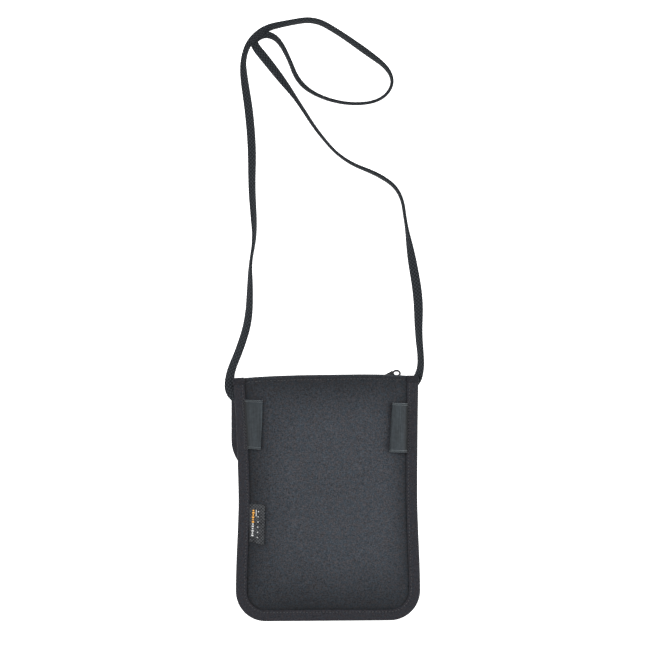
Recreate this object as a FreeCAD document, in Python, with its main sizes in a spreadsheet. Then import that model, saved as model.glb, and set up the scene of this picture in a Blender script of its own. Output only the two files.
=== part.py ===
import FreeCAD, Part
import math
import os

import Sketcher

# Neck pouch wallet lying on its front, back side up, in millimetres. +X is to the right of the
# back, +Y towards the zip edge, +Z away from the surface it lies on. The origin is on that
# surface, under the middle of the pouch.

doc = FreeCAD.newDocument("neck_pouch_wallet")
sheet = doc.addObject("Spreadsheet::Sheet", "Sheet")

DIMENSIONS = [
    # outline of the pouch
    ("half_top", 69.6), ("half_waist", 68.4), ("half_low", 70.5),
    ("top_corner_y", 92.6), ("low_y", -72.0), ("corner_end_x", 49.0), ("corner_end_y", -94.3),
    ("top_radius", 880.0), ("side_radius", 2400.0), ("bottom_radius", 1200.0),
    ("corner_radius", 24.0), ("corner_share", 0.3), ("past_edge", 6.0), ("cap_rise", 0.6),
    # fabric and tape
    ("cloth", 0.55), ("tape_width", 8.0), ("tape_wall", 0.7), ("fold_low", 0.2), ("fold_high", 1.9),
    # heights of the layers in the side seam
    ("seam_low", 3.4), ("seam_high", 6.8), ("slot_low", 4.0), ("slot_high", 6.2),
    ("pocket_z", 4.05), ("front_z", 4.65), ("back_z", 5.25), ("seam_inset", 1.0),
    # crown of each sheet
    ("back_crown", 12.4), ("front_crown", 7.65), ("pocket_crown", 2.35),
    ("back_foot", 22.5), ("back_plateau", 36.0), ("front_foot", 24.0), ("front_plateau", 34.0),
    ("pocket_foot", 23.0), ("pocket_plateau", 34.0), ("deep_top", 12.0), ("pocket_mouth", 70.0),
    ("back_crown_top", 88.6), ("back_plateau_top", 80.6), ("crown_lap", 0.01), ("mouth_open", 8.0),
    ("front_top", 82.0), ("front_crown_top", 80.0), ("front_plateau_top", 78.0),
    # turned hem of the back sheet and the facing strip that joins the front sheet to its zip tape
    ("hem_low", 94.0), ("hem_high", 94.6), ("hem_drop", 1.5), ("hem_half", 60.0),
    ("facing_low", 81.8), ("facing_high", 83.8),
    # front flap
    ("flap_left", -75.2), ("flap_right", 68.5), ("flap_bottom", 14.7), ("flap_top", 77.0),
    ("flap_corner", 30.0), ("flap_thick", 1.7), ("flap_cloth_z", 0.55), ("flap_strip_depth", 4.5),
    ("flap_strip_z", 1.5), ("flap_inset", 0.8), ("flap_room", 0.05),
    # hook-and-loop closure
    ("closure_half", 25.0), ("closure_low", 25.0), ("closure_width", 16.0), ("closure_thick", 0.45),
    # zip
    ("zip_half", 60.0), ("zip_z", 3.45), ("zip_line", 89.5), ("coil_r", 0.5), ("coil_gap", 0.9),
    ("coil_left", -57.0), ("coil_right", 45.0), ("stop_length", 1.5), ("zip_tape", 0.5),
    ("zip_tape_front_low", 80.0), ("zip_tape_back_top", 93.9),
    ("slider_x", 35.5), ("slider_length", 8.0), ("slider_width", 6.4), ("slider_plate", 0.7),
    ("slider_clear", 0.35), ("post_width", 0.4), ("post_start", 3.0), ("post_end", 0.5),
    ("upper_share", 0.8), ("pin_along", 5.5), ("pin_past", 0.6), ("lug_half", 1.0), ("lug_gap", 0.2),
    ("lug_lap", 0.1), ("arm_along", 5.9), ("arm_low_x", 1.6), ("arm_low_y", 2.6), ("arm_high_x", 2.6),
    ("arm_high_y", 1.2), ("arm_root", 0.6),
    ("pin_r", 0.35), ("pin_clear", 0.05), ("barrel_r", 0.75), ("barrel_length", 2.0),
    ("lug", 0.8), ("pull_z", 1.1), ("pull_thick", 0.8),
    ("ring_x", 52.3), ("ring_y", 95.3), ("ring_outer", 3.7), ("ring_inner", 1.95),
    # side loops and label
    ("loop_length", 38.0), ("loop_width", 12.0), ("loop_height", 6.2), ("loop_wall", 0.8),
    ("loop_left_y", 37.6), ("loop_right_y", 35.3), ("loop_left_x", -60.75), ("loop_right_x", 48.6),
    ("label_left", -60.3), ("label_right", -49.4), ("label_low", -36.5), ("label_high", -5.0),
    ("label_thick", 0.8), ("above_cloth", 5.85), ("cut_past", 1.0),
    # neck cord
    ("cord_r", 2.0), ("tail_left_y", 76.5), ("tail_right_y", 83.0), ("tail_length", 7.0),
    ("tail_width", 7.0), ("tail_thick", 0.3), ("tail_clear", 0.05), ("tail_past", 0.6), ("notch_past", 3.0),
    ("notch_depth", 4.0),
]
for row, (alias, value) in enumerate(DIMENSIONS, start=1):
    sheet.set(f"A{row}", alias)
    sheet.set(f"B{row}", str(value))
    sheet.setAlias(f"B{row}", alias)
doc.recompute()


def size(expression):
    """The number that an expression of the sheet's cells gives."""
    return float(sheet.evalExpression(cells(expression)))


def cells(expression):
    """The same expression, with the sheet's name in front of each cell it uses."""
    text = f" {expression} "
    for alias, _ in sorted(DIMENSIONS, key=lambda entry: -len(entry[0])):
        text = replace_word(text, alias)
    return text.strip()


def replace_word(text, word):
    parts = []
    start = 0
    while True:
        found = text.find(word, start)
        if found < 0:
            return "".join(parts) + text[start:]
        before = text[found - 1]
        after = text[found + len(word)]
        whole = not (before.isalnum() or before in "_.") and not (after.isalnum() or after == "_")
        parts.append(text[start:found] + ("Sheet." if whole else "") + word)
        start = found + len(word)


def bind(item, **expressions):
    """Tie an object's properties to the sheet."""
    for name, expression in expressions.items():
        item.setExpression(name.replace("__", "."), cells(expression))


# ---------------------------------------------------------------- sketches and bodies

def new_body(name):
    body = doc.addObject("PartDesign::Body", name)
    body.Label = name
    return body


def origin_plane(body, role):
    return next(item for item in body.Origin.OriginFeatures if item.Role == role)


def new_sketch(body, name, height="0", role="XY_Plane"):
    sketch = body.newObject("Sketcher::SketchObject", name)
    sketch.AttachmentSupport = (origin_plane(body, role), [""])
    sketch.MapMode = "FlatFace"
    bind(sketch, AttachmentOffset__Base__z=height)
    return sketch


def outline(sketch, corners, radii):
    """A closed loop through corners. Each radius belongs to the edge that follows its corner: None
    for a straight edge, an expression for an arc that bulges outwards, and an expression with
    "in " before it for one that bulges inwards. Corners run anticlockwise."""
    places = [FreeCAD.Vector(size(x), size(y), 0) for x, y in corners]
    first = sketch.GeometryCount
    for number, radius in enumerate(radii):
        start = places[number]
        end = places[(number + 1) % len(places)]
        if radius is None:
            sketch.addGeometry(Part.LineSegment(start, end), False)
            continue
        sketch.addGeometry(shallow_arc(start, end, radius), False)
        sketch.addConstraint(Sketcher.Constraint("Radius", first + number, size(plain_radius(radius))))
        sketch.setExpression(f"Constraints[{sketch.ConstraintCount - 1}]", cells(plain_radius(radius)))
    for number, (x, y) in enumerate(corners):
        starts = start_point(radii[number])
        ends = end_point(radii[number - 1])
        before = first + (number - 1) % len(corners)
        sketch.addConstraint(Sketcher.Constraint("Coincident", before, ends, first + number, starts))
        place = places[number]
        for kind, expression, value in (("DistanceX", x, place.x), ("DistanceY", y, place.y)):
            sketch.addConstraint(Sketcher.Constraint(kind, -1, 1, first + number, starts, value))
            sketch.setExpression(f"Constraints[{sketch.ConstraintCount - 1}]", cells(expression))
    return sketch


def plain_radius(radius):
    return radius.removeprefix("in ")


def start_point(radius):
    """Arcs are stored anticlockwise, so one that bulges inwards starts at its second point."""
    return 2 if radius and radius.startswith("in ") else 1


def end_point(radius):
    return 3 - start_point(radius)


def shallow_arc(start, end, radius):
    inwards = radius.startswith("in ")
    length = size(plain_radius(radius))
    chord = end - start
    rise = length - math.sqrt(length ** 2 - (chord.Length / 2) ** 2)
    outwards = FreeCAD.Vector(chord.y, -chord.x, 0).normalize()
    middle = (start + end) / 2 + outwards * (-rise if inwards else rise)
    return Part.ArcOfCircle(start, middle, end)


def rectangle(sketch, left, low, right, high):
    return outline(sketch, [(left, low), (right, low), (right, high), (left, high)], [None] * 4)


def circle(sketch, x, y, radius):
    number = sketch.GeometryCount
    centre = FreeCAD.Vector(size(x), size(y), 0)
    sketch.addGeometry(Part.Circle(centre, FreeCAD.Vector(0, 0, 1), size(radius)), False)
    for kind, expression, value in (("DistanceX", x, centre.x), ("DistanceY", y, centre.y)):
        sketch.addConstraint(Sketcher.Constraint(kind, -1, 1, number, 3, value))
        sketch.setExpression(f"Constraints[{sketch.ConstraintCount - 1}]", cells(expression))
    sketch.addConstraint(Sketcher.Constraint("Radius", number, size(radius)))
    sketch.setExpression(f"Constraints[{sketch.ConstraintCount - 1}]", cells(radius))


def pad(body, sketch, length):
    feature = body.newObject("PartDesign::Pad", sketch.Name + "_pad")
    feature.Profile = sketch
    bind(feature, Length=length)
    return feature


def pocket(body, sketch, length):
    """Cut downwards from the sketch, and make sure that something was cut."""
    doc.recompute()
    before = body.Shape.Volume
    feature = body.newObject("PartDesign::Pocket", sketch.Name + "_pocket")
    feature.Profile = sketch
    bind(feature, Length=length)
    doc.recompute()
    if body.Shape.Volume >= before:
        raise RuntimeError(feature.Name + " cut nothing")
    return feature


def loft(body, kind, sketches):
    feature = body.newObject("PartDesign::" + kind, sketches[0].Name + "_loft")
    feature.Profile = sketches[0]
    feature.Sections = sketches[1:]
    feature.Ruled = True
    return feature


# ---------------------------------------------------------------- the pouch's sheets

def pouch_outline(sketch, inset, top):
    """The pouch's waisted outline, drawn in by inset at its sides and bottom, with its top corners
    at height top."""
    corners = [
        (f"0 - half_low + ({inset})", "low_y"),
        (f"0 - corner_end_x + ({inset}) * corner_share", f"corner_end_y + ({inset})"),
        (f"corner_end_x - ({inset}) * corner_share", f"corner_end_y + ({inset})"),
        (f"half_low - ({inset})", "low_y"),
        (f"half_waist - ({inset})", "0"),
        (f"half_top - ({inset})", top),
        (f"0 - half_top + ({inset})", top),
        (f"0 - half_waist + ({inset})", "0"),
    ]
    radii = ["corner_radius", "bottom_radius", "corner_radius", "in side_radius", None,
             "top_radius", None, "in side_radius"]
    return outline(sketch, corners, radii)


def crown_outline(sketch, inset, low, high):
    """The plain outline of a sheet's raised middle."""
    return rectangle(sketch, f"0 - half_waist + ({inset})", low, f"half_waist - ({inset})", high)


def crown(body, name, foot_z, plateau_z, foot, plateau, low, high, thick_way):
    """A raised middle: a tapered block added on the sheet, and the same block, drawn in by the
    cloth, taken out again. foot and plateau are the insets at its two ends, low and high its two
    y ranges, and thick_way is the direction that it rises in."""
    added = [
        crown_outline(new_sketch(body, name + "_foot", foot_z), foot, low[0], high[0]),
        crown_outline(new_sketch(body, name + "_plateau", plateau_z), plateau, low[1], high[1]),
    ]
    loft(body, "AdditiveLoft", added)
    return [
        (f"{foot_z} - ({thick_way}) * crown_lap", f"{foot} + cloth", low[0], high[0]),
        (f"{plateau_z} - ({thick_way}) * cloth", f"{plateau} + cloth", low[1], high[1]),
    ]


def hollow(body, name, levels, low_gap, high_gap):
    """Take the inside of a raised middle out."""
    cut = []
    for number, (height, inset, low, high) in enumerate(levels):
        sketch = new_sketch(body, f"{name}_inside{number}", height)
        cut.append(crown_outline(sketch, inset, f"{low} + ({low_gap})", f"{high} - ({high_gap})"))
    before = body.Shape.Volume
    loft(body, "SubtractiveLoft", cut)
    doc.recompute()
    if body.Shape.Volume >= before:
        raise RuntimeError(name + " stayed solid")


def back_panel():
    body = new_body("back_panel")
    edge = pouch_outline(new_sketch(body, "back_edge", "back_z"), "seam_inset", "top_corner_y")
    pad(body, edge, "cloth")
    hem = new_sketch(body, "back_hem", "back_z - hem_drop")
    rectangle(hem, "0 - hem_half", "hem_low", "hem_half", "hem_high")
    pad(body, hem, "hem_drop + cloth / 2")
    levels = crown(body, "back_crown", "back_z", "back_crown", "back_foot", "back_plateau",
                   ("corner_end_y + back_foot", "corner_end_y + back_plateau"),
                   ("back_crown_top", "back_plateau_top"), "1")
    doc.recompute()
    hollow(body, "back_crown", levels, "cloth", "cloth")
    return body


def front_panel():
    body = new_body("front_panel")
    edge = pouch_outline(new_sketch(body, "front_edge", "front_z"), "seam_inset", "front_top")
    pad(body, edge, "cloth")
    levels = crown(body, "front_crown", "front_z", "front_crown", "front_foot", "front_plateau",
                   ("corner_end_y + front_foot", "corner_end_y + front_plateau"),
                   ("front_crown_top", "front_plateau_top"), "1")
    doc.recompute()
    hollow(body, "front_crown", levels, "cloth", "cloth")
    return body


def pocket_panel():
    """The front pocket's sheet: a shallow middle under the flap and a deeper one below it, which
    the pouch lies on. Its top is the pocket's open mouth."""
    body = new_body("pocket_panel")
    edge = new_sketch(body, "pocket_edge", "pocket_z")
    pouch_outline(edge, "seam_inset", "pocket_mouth")
    pad(body, edge, "cloth")
    low = ("corner_end_y + pocket_foot", "corner_end_y + pocket_plateau")
    shallow = crown(body, "pocket_shallow", "pocket_z + cloth", "pocket_crown", "pocket_foot",
                    "pocket_plateau", low, ("pocket_mouth", "pocket_mouth"), "0 - 1")
    deep = crown(body, "pocket_deep", "pocket_z + cloth", "0", "pocket_foot", "pocket_plateau",
                 low, ("deep_top", "deep_top"), "0 - 1")
    doc.recompute()
    hollow(body, "pocket_shallow", shallow, "cloth", "0 - mouth_open")
    hollow(body, "pocket_deep", deep, "cloth", "cloth")
    return body


def edge_binding():
    """One folded tape round the left, bottom and right edges, with its ends turned over the top
    corners. It is a channel that holds the three sheets' edges."""
    body = new_body("edge_binding")
    outer = pouch_outline(new_sketch(body, "binding_outer", "seam_low"), "0", "top_corner_y + cap_rise")
    pad(body, outer, "seam_high - seam_low")
    for name, side in (("left", "0 - 1"), ("right", "1")):
        end = new_sketch(body, f"binding_{name}_end", "seam_low")
        low = "top_corner_y + fold_low"
        high = "top_corner_y + fold_high"
        wide = [f"({side}) * half_top", f"({side}) * (half_top - tape_width)"]
        if name == "right":
            wide.reverse()
        rectangle(end, wide[0], low, wide[1], high)
        pad(body, end, "seam_high - seam_low")
    middle = new_sketch(body, "binding_inner", "seam_high + cut_past")
    pouch_outline(middle, "tape_width", "top_corner_y + past_edge")
    pocket(body, middle, "seam_high - seam_low + cut_past * 2")
    slot = new_sketch(body, "binding_slot", "slot_high")
    pouch_outline(slot, "tape_wall", "top_corner_y + fold_low / 2")
    pocket(body, slot, "slot_high - slot_low")
    for name, side in (("left", "0 - 1"), ("right", "1")):
        notch = new_sketch(body, f"binding_{name}_notch", "above_cloth + tail_thick + tail_clear")
        middle_y = f"tail_{name}_y"
        wide = [f"({side}) * (half_low + notch_past)", f"({side}) * (half_waist - notch_depth)"]
        if name == "right":
            wide.reverse()
        rectangle(notch, wide[0], f"{middle_y} - tail_width / 2 - tail_clear", wide[1],
                  f"{middle_y} + tail_width / 2 + tail_clear")
        pocket(body, notch, "tail_thick + tail_clear * 2")
    return body


# ---------------------------------------------------------------- the front flap

def flap_shape(sketch, inset, high):
    """The flap's outline: square at its root and rounded at its two lower corners."""
    left = f"flap_left + ({inset})"
    right = f"flap_right - ({inset})"
    low = f"flap_bottom + ({inset})"
    corners = [
        (left, "flap_bottom + flap_corner"), (f"{left} + flap_corner - ({inset})", low),
        (f"{right} - flap_corner + ({inset})", low), (right, "flap_bottom + flap_corner"),
        (right, high), (left, high),
    ]
    round_corner = f"flap_corner - ({inset})"
    return outline(sketch, corners, [round_corner, None, round_corner, None, None, None])


def flap_panel():
    body = new_body("flap_panel")
    edge = flap_shape(new_sketch(body, "flap_edge", "flap_cloth_z"), "flap_inset", "flap_top")
    pad(body, edge, "cloth + flap_room")
    return body


def flap_binding():
    body = new_body("flap_binding")
    pad(body, flap_shape(new_sketch(body, "flap_tape_outer"), "0", "flap_top"), "flap_thick")
    inner = new_sketch(body, "flap_tape_inner", "flap_thick + cut_past")
    flap_shape(inner, "tape_width", "flap_top + past_edge")
    pocket(body, inner, "flap_thick + cut_past * 2")
    slot = new_sketch(body, "flap_tape_slot", "flap_cloth_z + cloth + flap_room * 2")
    flap_shape(slot, "flap_inset - flap_room * 2", "flap_top + past_edge")
    pocket(body, slot, "cloth + flap_room * 3")
    return body


def flat_box(name, left, low, right, high, bottom, thick):
    """A flat strip of tape or cloth."""
    body = new_body(name)
    pad(body, rectangle(new_sketch(body, name + "_outline", bottom), left, low, right, high), thick)
    return body


def closure():
    """Hook strip on the flap and loop strip on the pocket, one over the other."""
    ends = ("0 - closure_half", "closure_low", "closure_half", "closure_low + closure_width")
    flat_box("hook_strip", *ends, "flap_cloth_z + cloth + flap_room", "closure_thick")
    flat_box("loop_strip", *ends, "pocket_crown - closure_thick", "closure_thick")


def flap_seam_strip():
    """The flap's seam allowance, sewn to the front sheet just below the zip."""
    flat_box("flap_seam_strip", "0 - hem_half", "flap_top - flap_strip_depth", "hem_half", "flap_top",
             "flap_strip_z", "front_z - flap_strip_z")


# ---------------------------------------------------------------- the zip

def zip_tapes():
    """Two flat tapes. Each carries a coil on its inner edge."""
    flat_box("zip_tape_front", "0 - zip_half", "zip_tape_front_low", "zip_half",
             "zip_line - coil_gap / 2 - coil_r * 2", "zip_z - zip_tape / 2", "zip_tape")
    flat_box("zip_tape_back", "0 - zip_half", "zip_line + coil_gap / 2 + coil_r * 2", "zip_half",
             "zip_tape_back_top", "zip_z - zip_tape / 2", "zip_tape")


def zip_facing():
    """The narrow strip between the front sheet's top edge and its zip tape."""
    flat_box("zip_facing", "0 - hem_half", "facing_low", "hem_half", "facing_high",
             "zip_z + zip_tape / 2", "front_z - zip_z - zip_tape / 2")


def zip_coils():
    for name, side in (("zip_coil_front", "0 - 1"), ("zip_coil_back", "1")):
        coil = doc.addObject("Part::Cylinder", name)
        coil.Label = name
        bind(coil, Radius="coil_r", Height="coil_right - coil_left",
             Placement__Base__x="coil_left",
             Placement__Base__y=f"zip_line + ({side}) * (coil_gap / 2 + coil_r)",
             Placement__Base__z="zip_z")
        coil.Placement.Rotation = FreeCAD.Rotation(FreeCAD.Vector(0, 1, 0), 90)


def zip_stops():
    """A staple at each end of the coils, as two separate solids."""
    stops = []
    for name, left in (("left_stop", "coil_left - stop_length"), ("right_stop", "coil_right")):
        stop = doc.addObject("Part::Box", name)
        bind(stop, Length="stop_length", Width="coil_gap + coil_r * 2", Height="coil_r * 2 + lug_gap",
             Placement__Base__x=left, Placement__Base__y="zip_line - coil_gap / 2 - coil_r",
             Placement__Base__z="zip_z - coil_r - lug_gap / 2")
        stops.append(stop)
    both = doc.addObject("Part::Compound", "zip_stops")
    both.Label = "zip_stops"
    both.Links = stops


def zip_slider():
    """Two plates round the coils, joined by the post that parts them, with two lugs and a pin under
    the lower plate for the pull."""
    body = new_body("zip_slider")
    low_z = "zip_z - coil_r - slider_clear - slider_plate"
    high_z = "zip_z + coil_r + slider_clear"
    low_y = "zip_line - slider_width / 2"
    high_y = "zip_line + slider_width / 2"
    lower = new_sketch(body, "slider_lower", low_z)
    rectangle(lower, "slider_x", low_y, "slider_x + slider_length", high_y)
    pad(body, lower, "slider_plate")
    post = new_sketch(body, "slider_post", low_z)
    rectangle(post, "slider_x + slider_length - post_start", "zip_line - post_width / 2",
              "slider_x + slider_length - post_end", "zip_line + post_width / 2")
    pad(body, post, f"{high_z} - ({low_z}) + slider_plate")
    upper = new_sketch(body, "slider_upper", high_z)
    rectangle(upper, "slider_x", low_y, "slider_x + slider_length", high_y)
    pad(body, upper, "slider_plate * upper_share")
    for name, side in (("front", "0 - 1"), ("back", "1")):
        lug = new_sketch(body, f"slider_lug_{name}", "pull_z - barrel_r")
        inner = f"zip_line + ({side}) * (barrel_length / 2 + lug_gap)"
        outer = f"zip_line + ({side}) * (barrel_length / 2 + lug_gap + lug)"
        ends = (outer, inner) if name == "front" else (inner, outer)
        rectangle(lug, "slider_x + pin_along - lug_half", ends[0],
                  "slider_x + pin_along + lug_half", ends[1])
        pad(body, lug, f"{low_z} - pull_z + barrel_r + lug_lap")
    pin = new_sketch(body, "slider_pin", "0 - zip_line - barrel_length / 2 - pin_past", "XZ_Plane")
    circle(pin, "slider_x + pin_along", "pull_z", "pin_r")
    pad(body, pin, "barrel_length + pin_past * 2")
    return body


def zip_pull():
    """A wire arm and ring on a barrel that turns on the slider's pin."""
    body = new_body("zip_pull")
    barrel = new_sketch(body, "pull_barrel", "0 - zip_line - barrel_length / 2", "XZ_Plane")
    circle(barrel, "slider_x + pin_along", "pull_z", "barrel_r")
    pad(body, barrel, "barrel_length")
    arm = new_sketch(body, "pull_arm", "pull_z - pull_thick / 2")
    corners = [
        ("slider_x + arm_along", "zip_line - barrel_length / 2"),
        ("ring_x - arm_low_x", "ring_y - arm_low_y"),
        ("ring_x - arm_high_x", "ring_y + arm_high_y"),
        ("slider_x + arm_along", "zip_line + arm_root"),
    ]
    outline(arm, corners, [None] * 4)
    pad(body, arm, "pull_thick")
    ring = new_sketch(body, "pull_ring", "pull_z - pull_thick / 2")
    circle(ring, "ring_x", "ring_y", "ring_outer")
    pad(body, ring, "pull_thick")
    hole = new_sketch(body, "pull_hole", "pull_z + pull_thick")
    circle(hole, "ring_x", "ring_y", "ring_inner")
    pocket(body, hole, "pull_thick * 2")
    bore = new_sketch(body, "pull_bore", "0 - zip_line + barrel_length", "XZ_Plane")
    circle(bore, "slider_x + pin_along", "pull_z", "pin_r + pin_clear")
    pocket(body, bore, "barrel_length * 2")
    return body


# ---------------------------------------------------------------- loops, label and cord

def side_loop(name, left, low):
    """A piece of tape folded into a flat tube that is open at its top and bottom."""
    body = new_body(name)
    outer = new_sketch(body, name + "_outer", f"0 - ({low}) - loop_length", "XZ_Plane")
    rectangle(outer, left, "above_cloth", f"{left} + loop_width", "above_cloth + loop_height")
    pad(body, outer, "loop_length")
    inner = new_sketch(body, name + "_inner", f"0 - ({low}) + cut_past", "XZ_Plane")
    rectangle(inner, f"{left} + loop_wall", "above_cloth + loop_wall",
              f"{left} + loop_width - loop_wall", "above_cloth + loop_height - loop_wall")
    pocket(body, inner, "loop_length + cut_past * 2")
    return body


def woven_label():
    flat_box("woven_label", "label_left", "label_low", "label_right", "label_high",
             "above_cloth", "label_thick")


def cord_tail(name, side):
    """The cord's end, pressed flat and sewn into the side seam."""
    outside = f"({side}) * (half_top + tail_past)"
    inside = f"({side}) * (half_top + tail_past - tail_length)"
    ends = (outside, inside) if side == "0 - 1" else (inside, outside)
    middle = f"tail_{name}_y"
    flat_box(f"cord_tail_{name}", ends[0], f"{middle} - tail_width / 2", ends[1],
             f"{middle} + tail_width / 2", "above_cloth", "tail_thick")


# The neck cord's route: out of the left seam, up the left side, once round over the top in a loose
# loop, a tight fold back, and down the right side into the right seam.
CORD_ROUTE = [
    (-70.25, 76.5, 6.0), (-77.0, 79.5, 5.2), (-79.0, 88.0, 3.4), (-75.0, 100.0, 2.1),
    (-68.0, 115.0, 2.1), (-62.0, 137.0, 2.1), (-60.0, 165.0, 2.1), (-58.5, 192.0, 2.1),
    (-57.2, 212.0, 2.1), (-59.0, 240.0, 2.1), (-58.2, 270.0, 2.1), (-61.5, 300.0, 2.1),
    (-66.4, 326.0, 2.1), (-66.4, 341.0, 4.6), (-60.6, 353.5, 7.2), (-49.0, 363.5, 6.2),
    (-32.0, 369.0, 2.1), (-11.0, 373.5, 2.1), (8.0, 361.0, 2.1), (30.0, 347.0, 2.1),
    (48.0, 334.0, 2.1), (51.5, 317.0, 2.1), (38.0, 305.5, 2.1), (16.0, 304.0, 2.1),
    (-8.0, 309.5, 2.1), (-24.0, 322.0, 2.1), (-30.5, 342.0, 2.1), (-39.5, 356.5, 2.1),
    (-50.5, 357.5, 2.1), (-55.5, 350.0, 2.1), (-49.5, 341.0, 2.1), (-38.5, 327.5, 2.1),
    (-24.5, 309.0, 2.1), (-7.0, 283.0, 2.1), (12.0, 260.5, 2.1), (42.0, 250.5, 2.1),
    (57.0, 237.0, 2.1), (60.0, 212.0, 2.1), (65.5, 184.0, 2.1), (70.5, 155.0, 2.1),
    (70.2, 128.0, 2.1), (72.5, 108.0, 2.1), (75.5, 93.5, 3.6), (74.5, 85.0, 5.3),
    (70.25, 83.0, 6.0),
]


# Part of each straight run that the arcs at its ends may take.
ARC_SHARE = 0.45


def cord_path(points):
    """Straight runs joined by tangent arcs, each as large as its two runs allow."""
    edges = []
    start = points[0]
    radii = []
    for before, corner, after in zip(points, points[1:], points[2:]):
        inwards = corner - before
        outwards = after - corner
        turn = inwards.getAngle(outwards)
        share = ARC_SHARE * min(inwards.Length, outwards.Length)
        radii.append(share / math.tan(turn / 2))
        first = corner - FreeCAD.Vector(inwards).normalize() * share
        last = corner + FreeCAD.Vector(outwards).normalize() * share
        towards_centre = (first + last) / 2 - corner
        to_centre = radii[-1] / math.cos(turn / 2)
        middle = corner + FreeCAD.Vector(towards_centre).normalize() * (to_centre - radii[-1])
        edges.append(Part.LineSegment(start, first).toShape())
        edges.append(Part.Arc(first, middle, last).toShape())
        start = last
    edges.append(Part.LineSegment(start, points[-1]).toShape())
    print("cord radii", " ".join(f"{radius:.0f}" for radius in radii))
    return Part.Wire(edges)


def neck_cord():
    """The cord is swept along its own path, so its shape is set from the sheet's radius."""
    points = [FreeCAD.Vector(*point) for point in CORD_ROUTE]
    path = cord_path(points)
    radius = size("cord_r")
    start = FreeCAD.Vector(points[1] - points[0])
    ring = Part.Wire([Part.Circle(points[0], start, radius).toShape()])
    solid = path.makePipeShell([ring], True, False)
    wanted = math.pi * radius ** 2 * path.Length
    print(f"cord length {path.Length:.1f}, volume {solid.Volume:.0f} of {wanted:.0f}")
    cord = doc.addObject("Part::Feature", "neck_cord")
    cord.Label = "neck_cord"
    cord.Shape = solid
    cord.Placement = FreeCAD.Placement()


back_panel()
front_panel()
pocket_panel()
edge_binding()
flap_panel()
flap_binding()
closure()
flap_seam_strip()
zip_tapes()
zip_facing()
zip_coils()
zip_stops()
zip_slider()
zip_pull()
side_loop("side_loop_left", "loop_left_x", "loop_left_y")
side_loop("side_loop_right", "loop_right_x", "loop_right_y")
woven_label()
cord_tail("left", "0 - 1")
cord_tail("right", "1")
neck_cord()

NODES = [
    "back_panel", "front_panel", "pocket_panel", "edge_binding", "flap_panel", "flap_binding",
    "flap_seam_strip", "hook_strip", "loop_strip", "zip_tape_front", "zip_tape_back", "zip_facing",
    "zip_coil_front", "zip_coil_back", "zip_stops", "zip_slider", "zip_pull", "side_loop_left",
    "side_loop_right", "woven_label", "cord_tail_left", "cord_tail_right", "neck_cord",
]

doc.recompute()
for item in doc.Objects:
    if "Invalid" in item.State or "Error" in item.State:
        raise RuntimeError(f"{item.Name} failed: {item.State}")
os.makedirs("parts", exist_ok=True)
for name in NODES:
    shape = doc.getObject(name).Shape
    if shape.isNull() or not shape.isValid():
        raise RuntimeError(f"{name} has no valid shape")
    box = shape.BoundBox
    print(f"{name} {len(shape.Solids)} {shape.Volume:.0f} x {box.XMin:.1f} {box.XMax:.1f} "
          f"y {box.YMin:.1f} {box.YMax:.1f} z {box.ZMin:.2f} {box.ZMax:.2f}")
    shape.exportStep(f"parts/{name}.step")
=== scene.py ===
import math

import bmesh
import bpy
import numpy as np
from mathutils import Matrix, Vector


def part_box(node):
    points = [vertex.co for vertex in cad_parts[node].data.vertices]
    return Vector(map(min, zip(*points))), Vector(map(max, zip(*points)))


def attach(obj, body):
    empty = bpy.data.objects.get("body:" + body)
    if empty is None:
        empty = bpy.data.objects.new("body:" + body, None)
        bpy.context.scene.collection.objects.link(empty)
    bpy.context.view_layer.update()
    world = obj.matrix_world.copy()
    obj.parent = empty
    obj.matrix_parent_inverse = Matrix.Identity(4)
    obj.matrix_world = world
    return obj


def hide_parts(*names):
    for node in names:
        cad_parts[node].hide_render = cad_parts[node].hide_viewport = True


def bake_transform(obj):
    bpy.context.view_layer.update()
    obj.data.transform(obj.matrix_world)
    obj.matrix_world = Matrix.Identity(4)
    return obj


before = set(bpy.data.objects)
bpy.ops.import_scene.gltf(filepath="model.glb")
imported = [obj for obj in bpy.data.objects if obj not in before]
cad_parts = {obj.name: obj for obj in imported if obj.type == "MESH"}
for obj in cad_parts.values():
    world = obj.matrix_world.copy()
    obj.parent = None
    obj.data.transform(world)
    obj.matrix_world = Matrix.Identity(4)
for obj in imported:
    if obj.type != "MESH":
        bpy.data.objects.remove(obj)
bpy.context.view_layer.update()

# A neck pouch wallet lying on its front, back side up. Lengths below are millimetres until a mesh
# is made, where MM turns them into metres; those in materials and lights are metres. +X is to the
# right of the back, +Y towards the zip.

MM = 0.001
TAU = 2 * math.pi


def box_mm(node):
    """A CAD node's lowest and highest corners, in millimetres."""
    low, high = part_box(node)
    return np.array(low) / MM, np.array(high) / MM


# ---------------------------------------------------------------- driving dimensions

BINDING_LOW, BINDING_HIGH = box_mm("edge_binding")
PANEL_HIGH = box_mm("back_panel")[1]
FLAP_LOW, FLAP_HIGH = box_mm("flap_binding")
POCKET_HIGH = box_mm("pocket_panel")[1]
FRONT_HIGH = box_mm("front_panel")[1]
LABEL_LOW, LABEL_HIGH = box_mm("woven_label")
SLIDER_LOW, SLIDER_HIGH = box_mm("zip_slider")
PULL_HIGH = box_mm("zip_pull")[1]

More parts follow.
